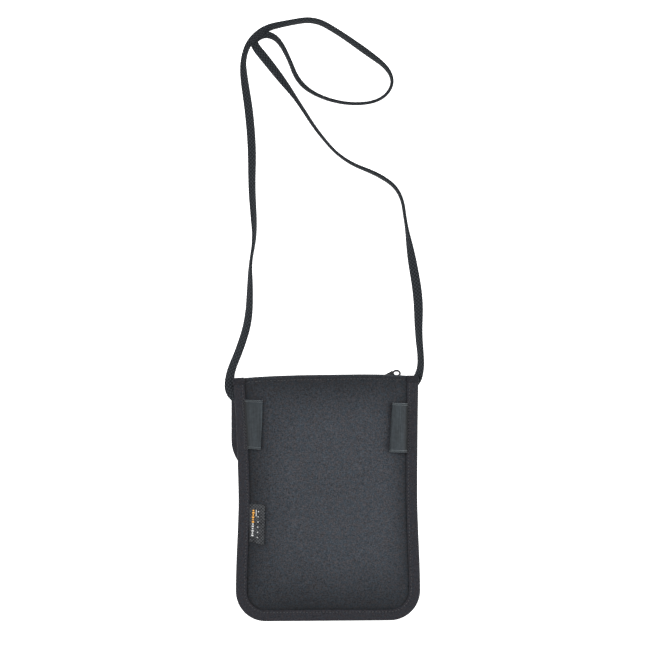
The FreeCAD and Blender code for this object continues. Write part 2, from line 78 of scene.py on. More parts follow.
HALF_LOW = BINDING_HIGH[0] + 1.2    # half width low on the pouch, its widest
HALF_WAIST = HALF_LOW - 2.2         # and at the waist
HALF_TOP = HALF_LOW - 1.3           # and at the zip end
WAIST_Y = 3.0
WIDE_Y = -72.0                      # where the pouch is widest
BOTTOM_Y = BINDING_LOW[1] - 0.6
TOP_CORNER_Y = BINDING_HIGH[1] - 1.9
TOP_BOW = PANEL_HIGH[1] - TOP_CORNER_Y
SHEET_INSET = 1.05                  # from the pouch's outline in to the sheets' own edges
CORNER = 23.5                       # radius of the two lower corners
TAPE = 8.8                          # visible width of the edge tape
TAPE_LOW = BINDING_LOW[2]
TAPE_HIGH = BINDING_HIGH[2]
TAPE_WALL = 0.55
CLOTH = 0.55                        # thickness of the sheets' cloth
BACK_EDGE_Z = 5.75                  # height of the back sheet at the side seam
CROWN_Z = PANEL_HIGH[2] - 0.5       # height of its middle
STITCH = 2.55                       # length of one stitch of the sewing
LEFT_FLARE = 3.5                    # how far the left seam runs out at the zip end
TOP_SLOPE = 1.0                     # how far the top edge rises or falls at its ends
BOTTOM_SLOPE = 0.5                  # and the lower edge
SLOPE_ARM = 70.0                    # distance from the middle at which those slopes are stated

# ---------------------------------------------------------------- materials


class Nodes:
    """A material's node tree with short ways to add what the cloth recipes use."""

    def __init__(self, name, roughness, specular, sheen=0.0):
        self.material = bpy.data.materials.new(name)
        self.material.use_nodes = True
        self.tree = self.material.node_tree
        self.shader = self.tree.nodes["Principled BSDF"]
        self.shader.inputs["Roughness"].default_value = roughness
        self.shader.inputs["Specular IOR Level"].default_value = specular
        self.shader.inputs["Metallic"].default_value = 0.0
        self.shader.inputs["Sheen Weight"].default_value = sheen
        self.shader.inputs["Sheen Roughness"].default_value = 0.45

    def add(self, kind, **settings):
        node = self.tree.nodes.new("ShaderNode" + kind)
        for key, value in settings.items():
            setattr(node, key, value)
        return node

    def link(self, source, target):
        self.tree.links.new(source, target)

    def math(self, operation, first, second=None, third=None):
        """A Math node's result; each value is a number or another node's output."""
        node = self.add("Math", operation=operation)
        for socket, value in zip(node.inputs, (first, second, third)):
            if value is None:
                continue
            if isinstance(value, (int, float)):
                socket.default_value = value
            else:
                self.link(value, socket)
        return node.outputs[0]

    def humps(self, value, factor):
        """A row of round threads: the size of the sine of value times factor."""
        return self.math("ABSOLUTE", self.math("SINE", self.math("MULTIPLY", value, factor)))

    def place(self, tape=False):
        """X, Y and Z in metres: across and along a tape, or in the object's own frame."""
        if tape:
            source = self.add("UVMap", uv_map="Tape").outputs[0]
        else:
            source = self.add("TexCoord").outputs["Object"]
        split = self.add("SeparateXYZ")
        self.link(source, split.inputs[0])
        self.source = source
        return split.outputs

    def noise(self, scale, detail=2.0, roughness=0.5):
        node = self.add("TexNoise")
        node.inputs["Scale"].default_value = scale
        node.inputs["Detail"].default_value = detail
        node.inputs["Roughness"].default_value = roughness
        self.link(self.source, node.inputs["Vector"])
        return node.outputs["Fac"]

    def streaks(self, scale, stretch, detail=2.0):
        """Noise drawn out into threads: stretch holds the share of the scale on each axis."""
        mapped = self.add("Mapping")
        mapped.inputs["Scale"].default_value = stretch
        self.link(self.source, mapped.inputs["Vector"])
        node = self.add("TexNoise")
        node.inputs["Scale"].default_value = scale
        node.inputs["Detail"].default_value = detail
        self.link(mapped.outputs[0], node.inputs["Vector"])
        return node.outputs["Fac"]

    def shade(self):
        """The light and shade painted on the mesh at each point, 1 being the cloth's own tone."""
        return self.add("Attribute", attribute_name="Shade").outputs["Fac"]

    def ramp(self, factor, stops):
        node = self.add("ValToRGB")
        elements = node.color_ramp.elements
        while len(elements) < len(stops):
            elements.new(0.5)
        for element, (position, color) in zip(elements, stops):
            element.position = position
            element.color = (*color, 1.0)
        self.link(factor, node.inputs[0])
        return node.outputs[0]

    def tinted(self, first, second):
        """Two colours multiplied."""
        node = self.add("Mix", data_type="RGBA", blend_type="MULTIPLY")
        node.inputs[0].default_value = 1.0
        self.link(first, node.inputs[6])
        self.link(second, node.inputs[7])
        return node.outputs[2]

    def color(self, source):
        self.link(source, self.shader.inputs["Base Color"])

    def bump(self, height, distance, strength=1.0, under=None):
        node = self.add("Bump")
        node.inputs["Strength"].default_value = strength
        node.inputs["Distance"].default_value = distance
        self.link(height, node.inputs["Height"])
        if under is not None:
            self.link(under, node.inputs["Normal"])
        return node.outputs[0]

    def normal(self, source):
        self.link(source, self.shader.inputs["Normal"])


def plain_weave(nodes, across, along, pitch_across, pitch_along):
    """Height of a plain weave, 0 to 1: two sets of round threads that pass over and under each
    other in turn."""
    first = nodes.math("DIVIDE", across, pitch_across)
    second = nodes.math("DIVIDE", along, pitch_along)
    round_first = nodes.humps(first, math.pi)
    round_second = nodes.humps(second, math.pi)
    cells = nodes.math("ADD", nodes.math("FLOOR", first), nodes.math("FLOOR", second))
    turn = nodes.math("PINGPONG", cells, 1.0)
    over = nodes.math("MULTIPLY", round_first, nodes.math("MULTIPLY_ADD", round_second, 0.5, 0.5))
    under = nodes.math("MULTIPLY", round_second, nodes.math("MULTIPLY_ADD", round_first, 0.5, 0.5))
    gap = nodes.math("SUBTRACT", over, under)
    return nodes.math("MULTIPLY_ADD", gap, turn, under)


def cloth_material(name, dark, light, pitch, tape=False, roughness=0.8):
    """Woven cloth: threads in relief, uneven yarn that shows as fine streaks both ways, slow
    mottling, and the light and shade that the mesh paints at each point."""
    mottle = 170.0
    nodes = Nodes(name, roughness, specular=0.10, sheen=0.02)
    x, y, z = nodes.place(tape)
    if not tape:
        side_run = 0.7              # keeps the threads apart where the cloth stands steep
        x = nodes.math("ADD", x, nodes.math("MULTIPLY", z, side_run))
    weave = plain_weave(nodes, x, y, pitch[0], pitch[1])
    yarn = nodes.noise(1400.0, 2.0)
    fleck = nodes.noise(1150.0, 1.0)
    warp = nodes.streaks(1300.0, (1.0, 0.4, 0.5), 1.0)
    weft = nodes.streaks(1300.0, (0.4, 1.0, 0.5), 1.0)
    patch = nodes.noise(mottle, 3.0, 0.6)
    slow = nodes.noise(28.0, 2.0)
    shade = nodes.math("MULTIPLY_ADD", weave, 0.30, -0.86)
    parts = ((yarn, 0.25), (fleck, 0.95), (warp, 0.5), (weft, 0.55), (patch, 0.12), (slow, 0.10))
    for source, share in parts:
        shade = nodes.math("MULTIPLY_ADD", source, share, shade)
    base = nodes.ramp(shade, [(0.12, dark), (0.98, light)])
    hues = nodes.noise(mottle * 3.1, 2.0)
    tint = nodes.ramp(hues, [(0.36, (0.88, 0.98, 1.08)), (0.64, (1.12, 0.99, 0.98))])
    base = nodes.tinted(base, tint)
    # The mesh's Shade attribute paints light and shade onto the cloth.
    nodes.color(nodes.tinted(base, nodes.shade()))
    fine = nodes.bump(yarn, 0.00006, 0.6)
    nodes.normal(nodes.bump(weave, 0.00018, 0.9, fine))
    return nodes.material


def label_material(name):
    """Black label tape with pale picks that show as a slanting grain."""
    nodes = Nodes(name, roughness=0.6, specular=0.15)
    x, y, _ = nodes.place()
    grain = plain_weave(nodes, nodes.math("ADD", x, y), nodes.math("SUBTRACT", x, y), 0.0024, 0.0024)
    uneven = nodes.noise(1000.0, 1.0)
    patch = nodes.noise(330.0, 2.0)
    shade = nodes.math("MULTIPLY_ADD", grain, 0.62, nodes.math("MULTIPLY", uneven, 0.6))
    shade = nodes.math("MULTIPLY_ADD", patch, 0.75, nodes.math("ADD", shade, -0.30))
    nodes.color(nodes.ramp(shade, [(0.42, (0.002, 0.002, 0.003)), (1.0, (0.052, 0.056, 0.060))]))
    nodes.normal(nodes.bump(grain, 0.0002, 0.8))
    return nodes.material


def rib_material(name, dark, light, pitch):
    """Smooth woven tape with fine ribs across its length."""
    nodes = Nodes(name, roughness=0.6, specular=0.25, sheen=0.05)
    across, along, _ = nodes.place(tape=True)
    rib = nodes.humps(across, math.pi / pitch)
    cross = nodes.humps(along, math.pi / (pitch * 0.6))
    weave = nodes.math("MULTIPLY", rib, nodes.math("MULTIPLY_ADD", cross, 0.3, 0.7))
    patch = nodes.noise(420.0, 3.0)
    lines = nodes.streaks(1000.0, (1.0, 0.05, 1.0), 1.0)
    shade = nodes.math("MULTIPLY_ADD", weave, 0.35, nodes.math("MULTIPLY", patch, 0.55))
    shade = nodes.math("MULTIPLY_ADD", lines, 0.6, nodes.math("ADD", shade, -0.18))
    base = nodes.ramp(shade, [(0.2, dark), (0.85, light)])
    # The mesh's Shade attribute paints the loops' shade and fold highlight onto the tape.
    nodes.color(nodes.tinted(base, nodes.shade()))
    nodes.normal(nodes.bump(weave, 0.00012, 0.7))
    return nodes.material


def thread_material(name, dark, light):
    """Twisted sewing thread."""
    nodes = Nodes(name, roughness=0.5, specular=0.4, sheen=0.2)
    nodes.place()
    twist = nodes.noise(2600.0, 1.0)
    nodes.color(nodes.ramp(twist, [(0.3, dark), (0.7, light)]))
    nodes.normal(nodes.bump(twist, 0.00005, 0.6))
    return nodes.material


def braid_material(name):
    """The cord's yarn: fine plaits that cross each other, pale where they rise and painted dark between
    them, painted shade in the hollows, over the larger plaits of the mesh."""
    nodes = Nodes(name, roughness=0.8, specular=0.08)
    across, along, _ = nodes.place(tape=True)
    plaits = plain_weave(nodes, nodes.math("ADD", along, across), nodes.math("SUBTRACT", along, across),
                         0.0030, 0.0030)
    patch = nodes.noise(620.0, 2.0)
    # The plaits' height sets the colour: painted shade between them.
    shade = nodes.math("MULTIPLY_ADD", plaits, 0.75, nodes.math("MULTIPLY", patch, 0.5))
    nodes.color(nodes.ramp(shade, [(0.30, (0.004, 0.005, 0.006)), (0.95, (0.030, 0.034, 0.039))]))
    nodes.normal(nodes.bump(plaits, 0.0004, 1.0))
    return nodes.material


def metal_material(name):
    """Black enamel on metal, rubbed in places."""
    nodes = Nodes(name, roughness=0.5, specular=0.25)
    nodes.place()
    wear = nodes.noise(500.0, 3.0)
    nodes.color(nodes.ramp(wear, [(0.35, (0.003, 0.003, 0.0035)), (0.85, (0.018, 0.018, 0.020))]))
    nodes.normal(nodes.bump(nodes.noise(1800.0), 0.00002, 0.4))
    return nodes.material


def nylon_material(name):
    """Smooth dark nylon."""
    nodes = Nodes(name, roughness=0.42, specular=0.45)
    nodes.place()
    nodes.color(nodes.ramp(nodes.noise(900.0), [(0.3, (0.010, 0.010, 0.012)), (0.7, (0.030, 0.030, 0.034))]))
    nodes.normal(nodes.bump(nodes.noise(2400.0), 0.00002, 0.4))
    return nodes.material


def pile_material(name):
    """Hook or loop pile."""
    nodes = Nodes(name, roughness=0.9, specular=0.15, sheen=0.4)
    nodes.place()
    fuzz = nodes.noise(1500.0, 3.0, 0.7)
    nodes.color(nodes.ramp(fuzz, [(0.35, (0.008, 0.008, 0.010)), (0.7, (0.05, 0.05, 0.055))]))
    nodes.normal(nodes.bump(fuzz, 0.0004, 0.9))
    return nodes.material


SHEET_CLOTH = cloth_material("sheet_cloth", (0.014, 0.0155, 0.017), (0.066, 0.073, 0.082), (0.00062, 0.00062))
TAPE_CLOTH = cloth_material("edge_tape", (0.006, 0.0062, 0.007), (0.038, 0.039, 0.045), (0.00055, 0.0008),
                            tape=True, roughness=0.75)
ZIP_CLOTH = cloth_material("zip_tape", (0.002, 0.002, 0.003), (0.022, 0.022, 0.025), (0.0005, 0.0005))
LOOP_TAPE = rib_material("loop_tape", (0.004, 0.0055, 0.0065), (0.027, 0.036, 0.043), 0.00072)
LABEL_CLOTH = label_material("label_cloth")
THREAD = thread_material("sewing_thread", (0.005, 0.005, 0.006), (0.021, 0.022, 0.025))
# Pale thread for the rims at the loops' ends: real ridges, coloured pale to paint the highlight they catch.
RIM_HIGHLIGHT_THREAD = thread_material("loop_rim_highlight", (0.025, 0.031, 0.035), (0.075, 0.090, 0.10))
ORANGE_YARN = thread_material("orange_yarn", (0.55, 0.22, 0.02), (0.85, 0.42, 0.06))
WHITE_YARN = thread_material("white_yarn", (0.36, 0.36, 0.37), (0.62, 0.62, 0.61))
CORD_YARN = braid_material("cord_yarn")
ENAMEL = metal_material("black_enamel")
NYLON = nylon_material("coil_nylon")
PILE = pile_material("hook_pile")

# ---------------------------------------------------------------- mesh helpers


def piece(name, points, faces, material, body="pouch", tape=None, shade=None):
    """A smooth mesh object from points in millimetres. tape is the length across and along the
    strip at each point, for cloth whose weave follows it, and shade the light and shade painted on each
    point."""
    mesh = bpy.data.meshes.new(name)
    mesh.from_pydata((np.asarray(points, dtype=float) * MM).tolist(), [], faces)
    mesh.polygons.foreach_set("use_smooth", [True] * len(mesh.polygons))
    if tape is not None:
        layer = mesh.uv_layers.new(name="Tape")
        corners = np.zeros(len(mesh.loops), dtype=int)
        mesh.loops.foreach_get("vertex_index", corners)
        layer.data.foreach_set("uv", (np.asarray(tape, dtype=float)[corners] * MM).ravel())
    # The Shade attribute holds the light and shade painted on each point.
    painted_shading = mesh.attributes.new("Shade", "FLOAT", "POINT")
    painted_shading.data.foreach_set("value", np.ones(len(mesh.vertices)) if shade is None else np.ravel(shade))
    mesh.materials.append(material)
    thing = bpy.data.objects.new(name, mesh)
    bpy.context.collection.objects.link(thing)
    if body:
        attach(thing, body)
    return thing


def leant(points):
    """The pouch isn't quite square: its left seam runs outwards towards the zip, and its top edge
    and its lower edge slope down to the left."""
    points = np.array(points, dtype=float)
    x = points[..., 0].copy()
    y = points[..., 1].copy()
    flare = np.clip((y + 8.0) / 102.0, 0, 1.1) ** 1.5
    points[..., 0] -= LEFT_FLARE * flare * smooth_step((-x - 38.0) / 30.0)
    points[..., 1] += TOP_SLOPE * (x / SLOPE_ARM) * smooth_step((y - 55.0) / 40.0)
    points[..., 1] += BOTTOM_SLOPE * (x / SLOPE_ARM) * smooth_step((-y - 55.0) / 40.0)
    return points


def grid_faces(rows, columns, first=0, turned=False, around=False):
    """Faces between rows of points, closed round each row or not."""
    faces = []
    wide = columns if around else columns - 1
    for row in range(rows - 1):
        for column in range(wide):
            nearby = (column + 1) % columns
            a = first + row * columns + column
            b = first + row * columns + nearby
            c = first + (row + 1) * columns + nearby
            d = first + (row + 1) * columns + column
            faces.append((a, d, c, b) if turned else (a, b, c, d))
    return faces


def end_caps(rings, sides, first=0):
    """The two flat ends of a tube made of rings of points."""
    last = first + (rings - 1) * sides
    return [tuple(range(first, first + sides))[::-1], tuple(range(last, last + sides))]


def closed_sheet(top, bottom):
    """Points and faces of the closed sheet between two grids of rows by columns points. Rows run
    up +Y and columns along +X."""
    rows, columns = top.shape[:2]
    count = rows * columns
    points = np.concatenate([top.reshape(-1, 3), bottom.reshape(-1, 3)])
    faces = grid_faces(rows, columns) + grid_faces(rows, columns, count, turned=True)
    rim = list(range(columns))
    rim += [row * columns + columns - 1 for row in range(1, rows)]
    rim += [(rows - 1) * columns + column for column in range(columns - 2, -1, -1)]
    rim += [row * columns for row in range(rows - 2, 0, -1)]
    for here, there in zip(rim, rim[1:] + rim[:1]):
        faces.append((there, here, here + count, there + count))
    return points, faces


def layered(x, y, upper, lower):
    """The closed sheet over a grid of x and y, between two heights."""
    return closed_sheet(*(np.stack(np.broadcast_arrays(x, y, z), axis=-1) for z in (upper, lower)))


def even_grid(left, right, low, high, rows, columns):
    """x and y of evenly spaced points: rows up +Y, columns along +X."""
    return np.meshgrid(np.linspace(left, right, columns), np.linspace(low, high, rows))


def lengths_along(points):
    """How far along a line each of its points is."""
    return np.concatenate([[0], np.cumsum(np.linalg.norm(np.diff(points, axis=0), axis=1))])


def upward(count, height=1.0):
    """The upward direction, once for each of count points."""
    return np.tile([0, 0, height], (count, 1))


def circle(sides):
    """Angles evenly round a circle."""
    return np.linspace(0, TAU, sides, endpoint=False)


def dip(share):
    """How far a rounded edge has dropped, 0 to 1, as share runs from 0 to 1 across it."""
    return 1 - np.sqrt(np.maximum(1 - share ** 2, 0))


def bell(value, width):
    """1 where value is 0, falling smoothly away on both sides."""
    return np.exp(-(value / width) ** 2)


def sweep(centres, sides, ups, profile):
    """A closed profile carried along a line. profile holds (side, up) pairs, or one such list for
    each centre. Returns points, faces and the lengths round and along the strip."""
    rows = len(centres)
    profile = np.asarray(profile, dtype=float)
    if profile.ndim == 2:
        profile = np.repeat(profile[None], rows, axis=0)
    columns = profile.shape[1]
    points = centres[:, None] + profile[..., :1] * sides[:, None] + profile[..., 1:] * ups[:, None]
    run = lengths_along(centres)
    girth = lengths_along(profile[0])
    tape = np.stack(np.broadcast_arrays(girth[None, :], run[:, None]), axis=-1).reshape(-1, 2)
    faces = grid_faces(rows, columns, around=True)
    points = points.reshape(-1, 3)
    for row, turned in ((0, False), (rows - 1, True)):
        ring = [row * columns + column for column in range(columns)]
        middle = len(points)
        points = np.concatenate([points, points[ring].mean(axis=0)[None]])
        tape = np.concatenate([tape, tape[ring].mean(axis=0)[None]])
        for here, there in zip(ring, ring[1:] + ring[:1]):
            faces.append((middle, here, there) if turned else (middle, there, here))
    return points, faces, tape


def closed_piece(name, points, faces, material, **more):
    """A piece that is closed, with every face turned outwards."""
    thing = piece(name, points, faces, material, **more)
    work = bmesh.new()
    work.from_mesh(thing.data)
    bmesh.ops.recalc_face_normals(work, faces=work.faces)
    work.to_mesh(thing.data)
    work.free()
    return thing


def spaced(points, step):
    """The same line with points a step apart."""
    lengths = lengths_along(points)
    count = max(2, int(round(lengths[-1] / step)) + 1)
    wanted = np.linspace(0, lengths[-1], count)
    return np.stack([np.interp(wanted, lengths, values) for values in points.T], axis=1)


def tangents(points):
    """The direction of a line at each of its points."""
    along = np.gradient(points, axis=0)
    return along / np.linalg.norm(along, axis=1)[:, None]


def smooth_step(value):
    """0 to 1 with level ends, as value runs from 0 to 1."""
    value = np.clip(value, 0, 1)
    return value * value * (3 - 2 * value)


def ripple(x, y, seed, scale):
    """Smooth uneven waves, about -1 to 1, from a few crossing sines."""
    pick = np.random.default_rng(seed)
    total = np.zeros(np.broadcast(x, y).shape)
    for _ in range(7):
        angle = pick.uniform(0, TAU)
        pace = pick.uniform(0.6, 1.6) / scale
        total += np.sin((x * np.cos(angle) + y * np.sin(angle)) * pace * TAU + pick.uniform(0, TAU))
    return total / 4.0


# ---------------------------------------------------------------- camera, light and floor

VIEW_WIDTH = 503.75                 # width of the view at the object
VIEW_HEIGHT = 6.0                   # height above the floor at which it is that wide
VIEW_CENTRE = (-2.3, 133.7)
CAMERA_HEIGHT = 2000.0
SENSOR = 36.0


def camera():
    """Straight above the pouch, looking down."""
    data = bpy.data.cameras.new("camera")
    data.sensor_width = SENSOR
    data.lens = SENSOR * (CAMERA_HEIGHT - VIEW_HEIGHT) / VIEW_WIDTH
    data.clip_end = 20.0
    thing = bpy.data.objects.new("camera", data)
    thing.location = (VIEW_CENTRE[0] * MM, VIEW_CENTRE[1] * MM, CAMERA_HEIGHT * MM)
    bpy.context.collection.objects.link(thing)
    bpy.context.scene.camera = thing


def area_light(name, place, aim, wide, power):
    """A rectangular light; place and aim are in metres."""
    data = bpy.data.lights.new(name, "AREA")
    data.shape = "RECTANGLE"
    data.size = wide[0]
    data.size_y = wide[1]
    data.energy = power
    thing = bpy.data.objects.new(name, data)
    thing.location = place
    thing.rotation_euler = (Vector(aim) - Vector(place)).to_track_quat("-Z", "Y").to_euler()
    bpy.context.collection.objects.link(thing)


def studio():
    """A large soft light above, one at each side and a weak one low down, in a white room."""
    area_light("top_light", (-0.25, 0.75, 1.5), (0, 0.08, 0), (1.1, 1.1), 16.0)
    area_light("left_light", (-1.3, 0.15, 0.95), (0, 0.1, 0), (0.6, 1.0), 17.0)
    area_light("right_light", (1.3, 0.1, 0.95), (0, 0.1, 0), (0.6, 1.0), 19.0)
    area_light("low_light", (0.1, -1.4, 0.8), (0, 0.1, 0), (1.2, 0.6), 4.0)
    world = bpy.data.worlds.new("world")
    world.use_nodes = True
    world.node_tree.nodes["Background"].inputs[0].default_value = (1.0, 1.0, 1.0, 1.0)
    world.node_tree.nodes["Background"].inputs[1].default_value = 0.35
    bpy.context.scene.world = world
    scene = bpy.context.scene
    scene.view_settings.view_transform = "Standard"
    scene.view_settings.look = "None"


def floor():
    """A sheet of white paper, lit from behind."""
    half = 3000.0 * MM
    points = [(-half, -half, 0), (half, -half, 0), (half, half, 0), (-half, half, 0)]
    mesh = bpy.data.meshes.new("floor")
    mesh.from_pydata(points, [], [(0, 1, 2, 3)])
    nodes = Nodes("paper", roughness=0.95, specular=0.05)
    nodes.place()
    nodes.color(nodes.ramp(nodes.noise(60.0), [(0.3, (0.93, 0.93, 0.93)), (0.7, (0.95, 0.95, 0.95))]))
    nodes.shader.inputs["Emission Color"].default_value = (1.0, 1.0, 1.0, 1.0)
    nodes.shader.inputs["Emission Strength"].default_value = 0.9
    mesh.materials.append(nodes.material)
    thing = bpy.data.objects.new("floor", mesh)
    bpy.context.collection.objects.link(thing)


camera()
studio()
floor()

# ---------------------------------------------------------------- neck cord

CORD_WIDTH = 7.5
CORD_THICK = 2.6
# The route from the left seam round to the right seam: the CAD tube's, with its start held higher.
# Each point also has the angle in degrees of the cord's broad side from flat: 90 is on edge, 180
# the other way up.
CORD_ROUTE = [
    (-68.5, 76.0, 5.4, 0), (-73.5, 78.0, 5.0, 0), (-76.8, 84.0, 3.8, 2), (-76.6, 91.0, 2.6, 18),
    (-74.8, 100.0, 2.1, 35), (-68.2, 115.5, 2.1, 36), (-61.4, 137.5, 2.1, 38), (-60.4, 165.0, 2.1, 58),
    (-60.4, 181.0, 2.1, 82), (-57.0, 200.0, 2.1, 103), (-57.4, 215.0, 2.1, 122), (-59.2, 240.0, 2.1, 132),
    (-58.8, 270.0, 2.1, 146), (-61.2, 300.0, 2.1, 148), (-65.4, 326.0, 2.1, 137), (-65.9, 340.0, 4.6, 115),
    (-61.0, 353.5, 7.2, 118), (-49.0, 363.6, 6.2, 127), (-32.0, 368.0, 2.1, 115), (-10.5, 371.5, 2.1, 116),
    (8.0, 361.0, 2.1, 115), (30.0, 345.6, 2.1, 122), (47.5, 332.5, 2.1, 103), (51.0, 319.0, 2.1, 90),
    (39.5, 306.8, 2.1, 96), (16.0, 304.6, 2.1, 90), (-8.0, 311.0, 2.1, 84), (-23.5, 322.5, 2.1, 70),
    (-30.8, 341.8, 2.1, 76), (-38.8, 356.0, 2.1, 65), (-48.5, 360.0, 2.1, 55), (-58.0, 355.5, 2.1, 45),
    (-56.5, 350.0, 2.1, 30), (-49.5, 341.5, 2.1, 20), (-38.5, 327.5, 2.1, 33), (-24.4, 309.0, 2.1, 74),
    (-7.6, 282.5, 2.1, 82), (12.0, 261.0, 2.1, 92), (42.0, 249.5, 2.1, 104), (57.0, 236.5, 2.1, 96),
    (60.5, 212.0, 2.1, 92), (65.3, 184.0, 2.1, 150), (70.4, 155.0, 2.1, 172), (70.2, 128.0, 2.1, 134),
    (72.2, 108.0, 2.1, 124), (71.8, 99.0, 2.1, 130), (69.2, 91.0, 2.3, 158), (65.5, 87.5, 3.0, 178),
    (64.0, 86.0, 4.4, 180),
]


def cord_line():
    """Points along the route's smooth line."""
    data = bpy.data.curves.new("cord_route", "CURVE")
    data.dimensions = "3D"
    data.resolution_u = 16
    spline = data.splines.new("NURBS")
    spline.points.add(len(CORD_ROUTE) - 1)
    for point, place in zip(spline.points, CORD_ROUTE):
        point.co = (*(value * MM for value in place[:3]), 1.0)
    spline.order_u = 3
    spline.use_endpoint_u = True
    thing = bpy.data.objects.new("cord_route", data)
    bpy.context.collection.objects.link(thing)
    bpy.context.view_layer.update()
    mesh = bpy.data.meshes.new_from_object(thing)
    points = np.array([tuple(vertex.co) for vertex in mesh.vertices]) / MM
    bpy.data.objects.remove(thing)
    return spaced(points, 0.5)


def braid_height(around, along):
    """Relief of the flat braid: plaits that cross in a herringbone, in millimetres."""
    plait = 2.3
    slant = 1.15
    phase = along / plait + np.abs(around) * slant
    return 0.13 * np.abs(np.sin(math.pi * phase)) ** 0.7 - 0.05 * bell(around, 0.12)


def neck_cord():
    """The flat braided cord as a strip of oval section that twists as the real one does, resting
    on the surface: the more it stands on edge, the higher its middle."""
    line = cord_line()
    run = lengths_along(line)
    nearest = []
    reached = 0
    for place in CORD_ROUTE:
        gaps = np.linalg.norm(line[reached:reached + 200] - place[:3], axis=1)
        reached += int(np.argmin(gaps))
        nearest.append(run[reached])
    turn = np.radians(np.interp(run, nearest, [place[3] for place in CORD_ROUTE]))
    reach = 20                      # points to each side over which the turning is evened out
    kernel = np.hanning(2 * reach + 1)
    turn = np.convolve(np.pad(turn, reach, mode="edge"), kernel / kernel.sum(), mode="valid")
    half_wide = CORD_WIDTH / 2
    half_thick = CORD_THICK / 2
    rest = np.hypot(half_wide * np.sin(turn), half_thick * np.cos(turn)) + 0.08
    route_z = min(point[2] for point in CORD_ROUTE)
    line[:, 2] = rest + (line[:, 2] - route_z)
    along = tangents(line)
    level = np.cross(along, [0, 0, 1.0])
    level /= np.linalg.norm(level, axis=1)[:, None]
    above = np.cross(level, along)
    wide = level * np.cos(turn)[:, None] + above * np.sin(turn)[:, None]
    thick = -level * np.sin(turn)[:, None] + above * np.cos(turn)[:, None]
    angle = circle(28)
    across = np.sign(np.cos(angle)) * np.abs(np.cos(angle)) ** 0.85
    deep = np.sign(np.sin(angle)) * np.abs(np.sin(angle)) ** 0.75
    relief = braid_height(across[None, :], run[:, None] + 0.9 * (np.sin(angle) < 0)[None, :])
    profile = np.stack(np.broadcast_arrays(
        across[None, :] * (half_wide - 0.1) + relief * np.cos(angle)[None, :],
        deep[None, :] * (half_thick - 0.1) + relief * np.sin(angle)[None, :]), axis=-1)
    points, faces, tape = sweep(line, wide, thick, profile)
    points[:, 2] = np.maximum(points[:, 2], 0.02)
    cord = closed_piece("neck_cord_braid", points, faces, CORD_YARN, tape=tape)
    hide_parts("neck_cord")
    return line


cord_points = neck_cord()

# ---------------------------------------------------------------- the pouch's outline


def half_width(y):
    """Half the pouch's width at a height, before its lower corners are rounded."""
    above = HALF_WAIST + (HALF_TOP - HALF_WAIST) * ((y - WAIST_Y) / (TOP_CORNER_Y - WAIST_Y)) ** 2
    share = np.clip((WAIST_Y - y) / (WAIST_Y - WIDE_Y), 0, 1)
    below = HALF_WAIST + (HALF_LOW - HALF_WAIST) * smooth_step(share)
    return np.where(y > WAIST_Y, above, below)


def sheet_half(y, inset):
    """Half the width of the outline drawn in by inset, with its rounded corners."""
    radius = CORNER - inset
    into = np.clip(BOTTOM_Y + CORNER - y, 0, radius)
    return half_width(y) - inset - radius + np.sqrt(np.maximum(radius ** 2 - into ** 2, 0))


def top_line(x):
    """The slightly bowed top edge."""
    return TOP_CORNER_Y + TOP_BOW * (1 - np.abs(np.asarray(x) / HALF_TOP) ** 3.5)


PAINTED_SHADE_REACH = 38.0                   # distance from the seams at which the painted shade on the sheets is palest
PAINTED_VALLEY_WIDE = 1.6                   # width of the painted dark line along the tape, where the sheet dips to the seam
PAINTED_SHADOW_WIDE = 1.8                    # and of the painted shadow round a side loop
# Where the side loops lie on the back sheet, with painted shadow round them: left, right, low and high.
LOOP_PLACES = ((-62, -51.0, 38, 75), (48.3, 62, 36, 73))


def painted_sheet_shade(x, y):
    """Painted shade on the sheets: palest over their raised middle, and darkest along the seams and
    round the side loops, where shadow falls. They pale faster from the right seam than from the left."""
    seam = sheet_half(y, TAPE) - np.abs(x)
    side = np.where(x > 0, seam * 1.9 + 6, seam * 1.3 + 1)
    low = (y - (BOTTOM_Y + TAPE)) * 0.85
    high = (TOP_CORNER_Y - y) * 1.1
    near = sum(np.maximum(gap, 1.0) ** -2.0 for gap in (side, low, high)) ** -0.5
    # Painted shade: a dark line along the tape, and painted shadows round the side loops.
    valley = 1 - 0.35 * np.exp(-np.maximum(np.minimum(seam, low), 0) / PAINTED_VALLEY_WIDE)
    painted_loop_shadow = 1.0
    for left, right, low_y, high_y in LOOP_PLACES:
        aside = np.maximum(np.maximum(left - x, x - right), 0)
        beyond = np.maximum(np.maximum(low_y - y, y - high_y), 0)
        painted_loop_shadow = painted_loop_shadow - 0.28 * np.exp(-np.hypot(aside, beyond) / PAINTED_SHADOW_WIDE)
    # Painted shade from the crown: palest over the raised middle, a little lighter towards the right.
    pale = 0.46 + 0.54 * smooth_step(near / PAINTED_SHADE_REACH) ** 0.8
    return pale * (1 + 0.04 * x / SLOPE_ARM) * valley * painted_loop_shadow


def edge_line(inset, top=TOP_CORNER_Y):
    """The outline from the top left corner, down, across and up to the top right corner."""
    radius = CORNER - inset
    side_y = np.linspace(top, BOTTOM_Y + CORNER, 120)
    half = half_width(side_y) - inset
    centre_x = half[-1] - radius
    angles = np.linspace(0, math.pi / 2, 40)[1:]
    corner_x = centre_x + radius * np.cos(angles)
    corner_y = BOTTOM_Y + CORNER - radius * np.sin(angles)
    left = np.stack([-np.concatenate([half, corner_x]), np.concatenate([side_y, corner_y])], axis=1)
    right = left[::-1] * [-1, 1]
    return np.concatenate([left, right])


def crowned(x, y, inset, rise, reach, high_y=None):
    """Height of a sheet that bellies out between its seams."""
    side = sheet_half(y, inset) - np.abs(x)
    low = y - (BOTTOM_Y + inset)
    near = 1 / (1 / np.maximum(side, 0.01) ** 2 + 1 / np.maximum(low, 0.01) ** 2) ** 0.5
    if high_y is not None:
        top = np.maximum(high_y - y, 0.01)
        near = 1 / (1 / near ** 2 + 1 / (top * 1.3 + 3) ** 2) ** 0.5
    return rise * (1 - np.exp(-(np.maximum(near, 0) / reach) ** 1.25))


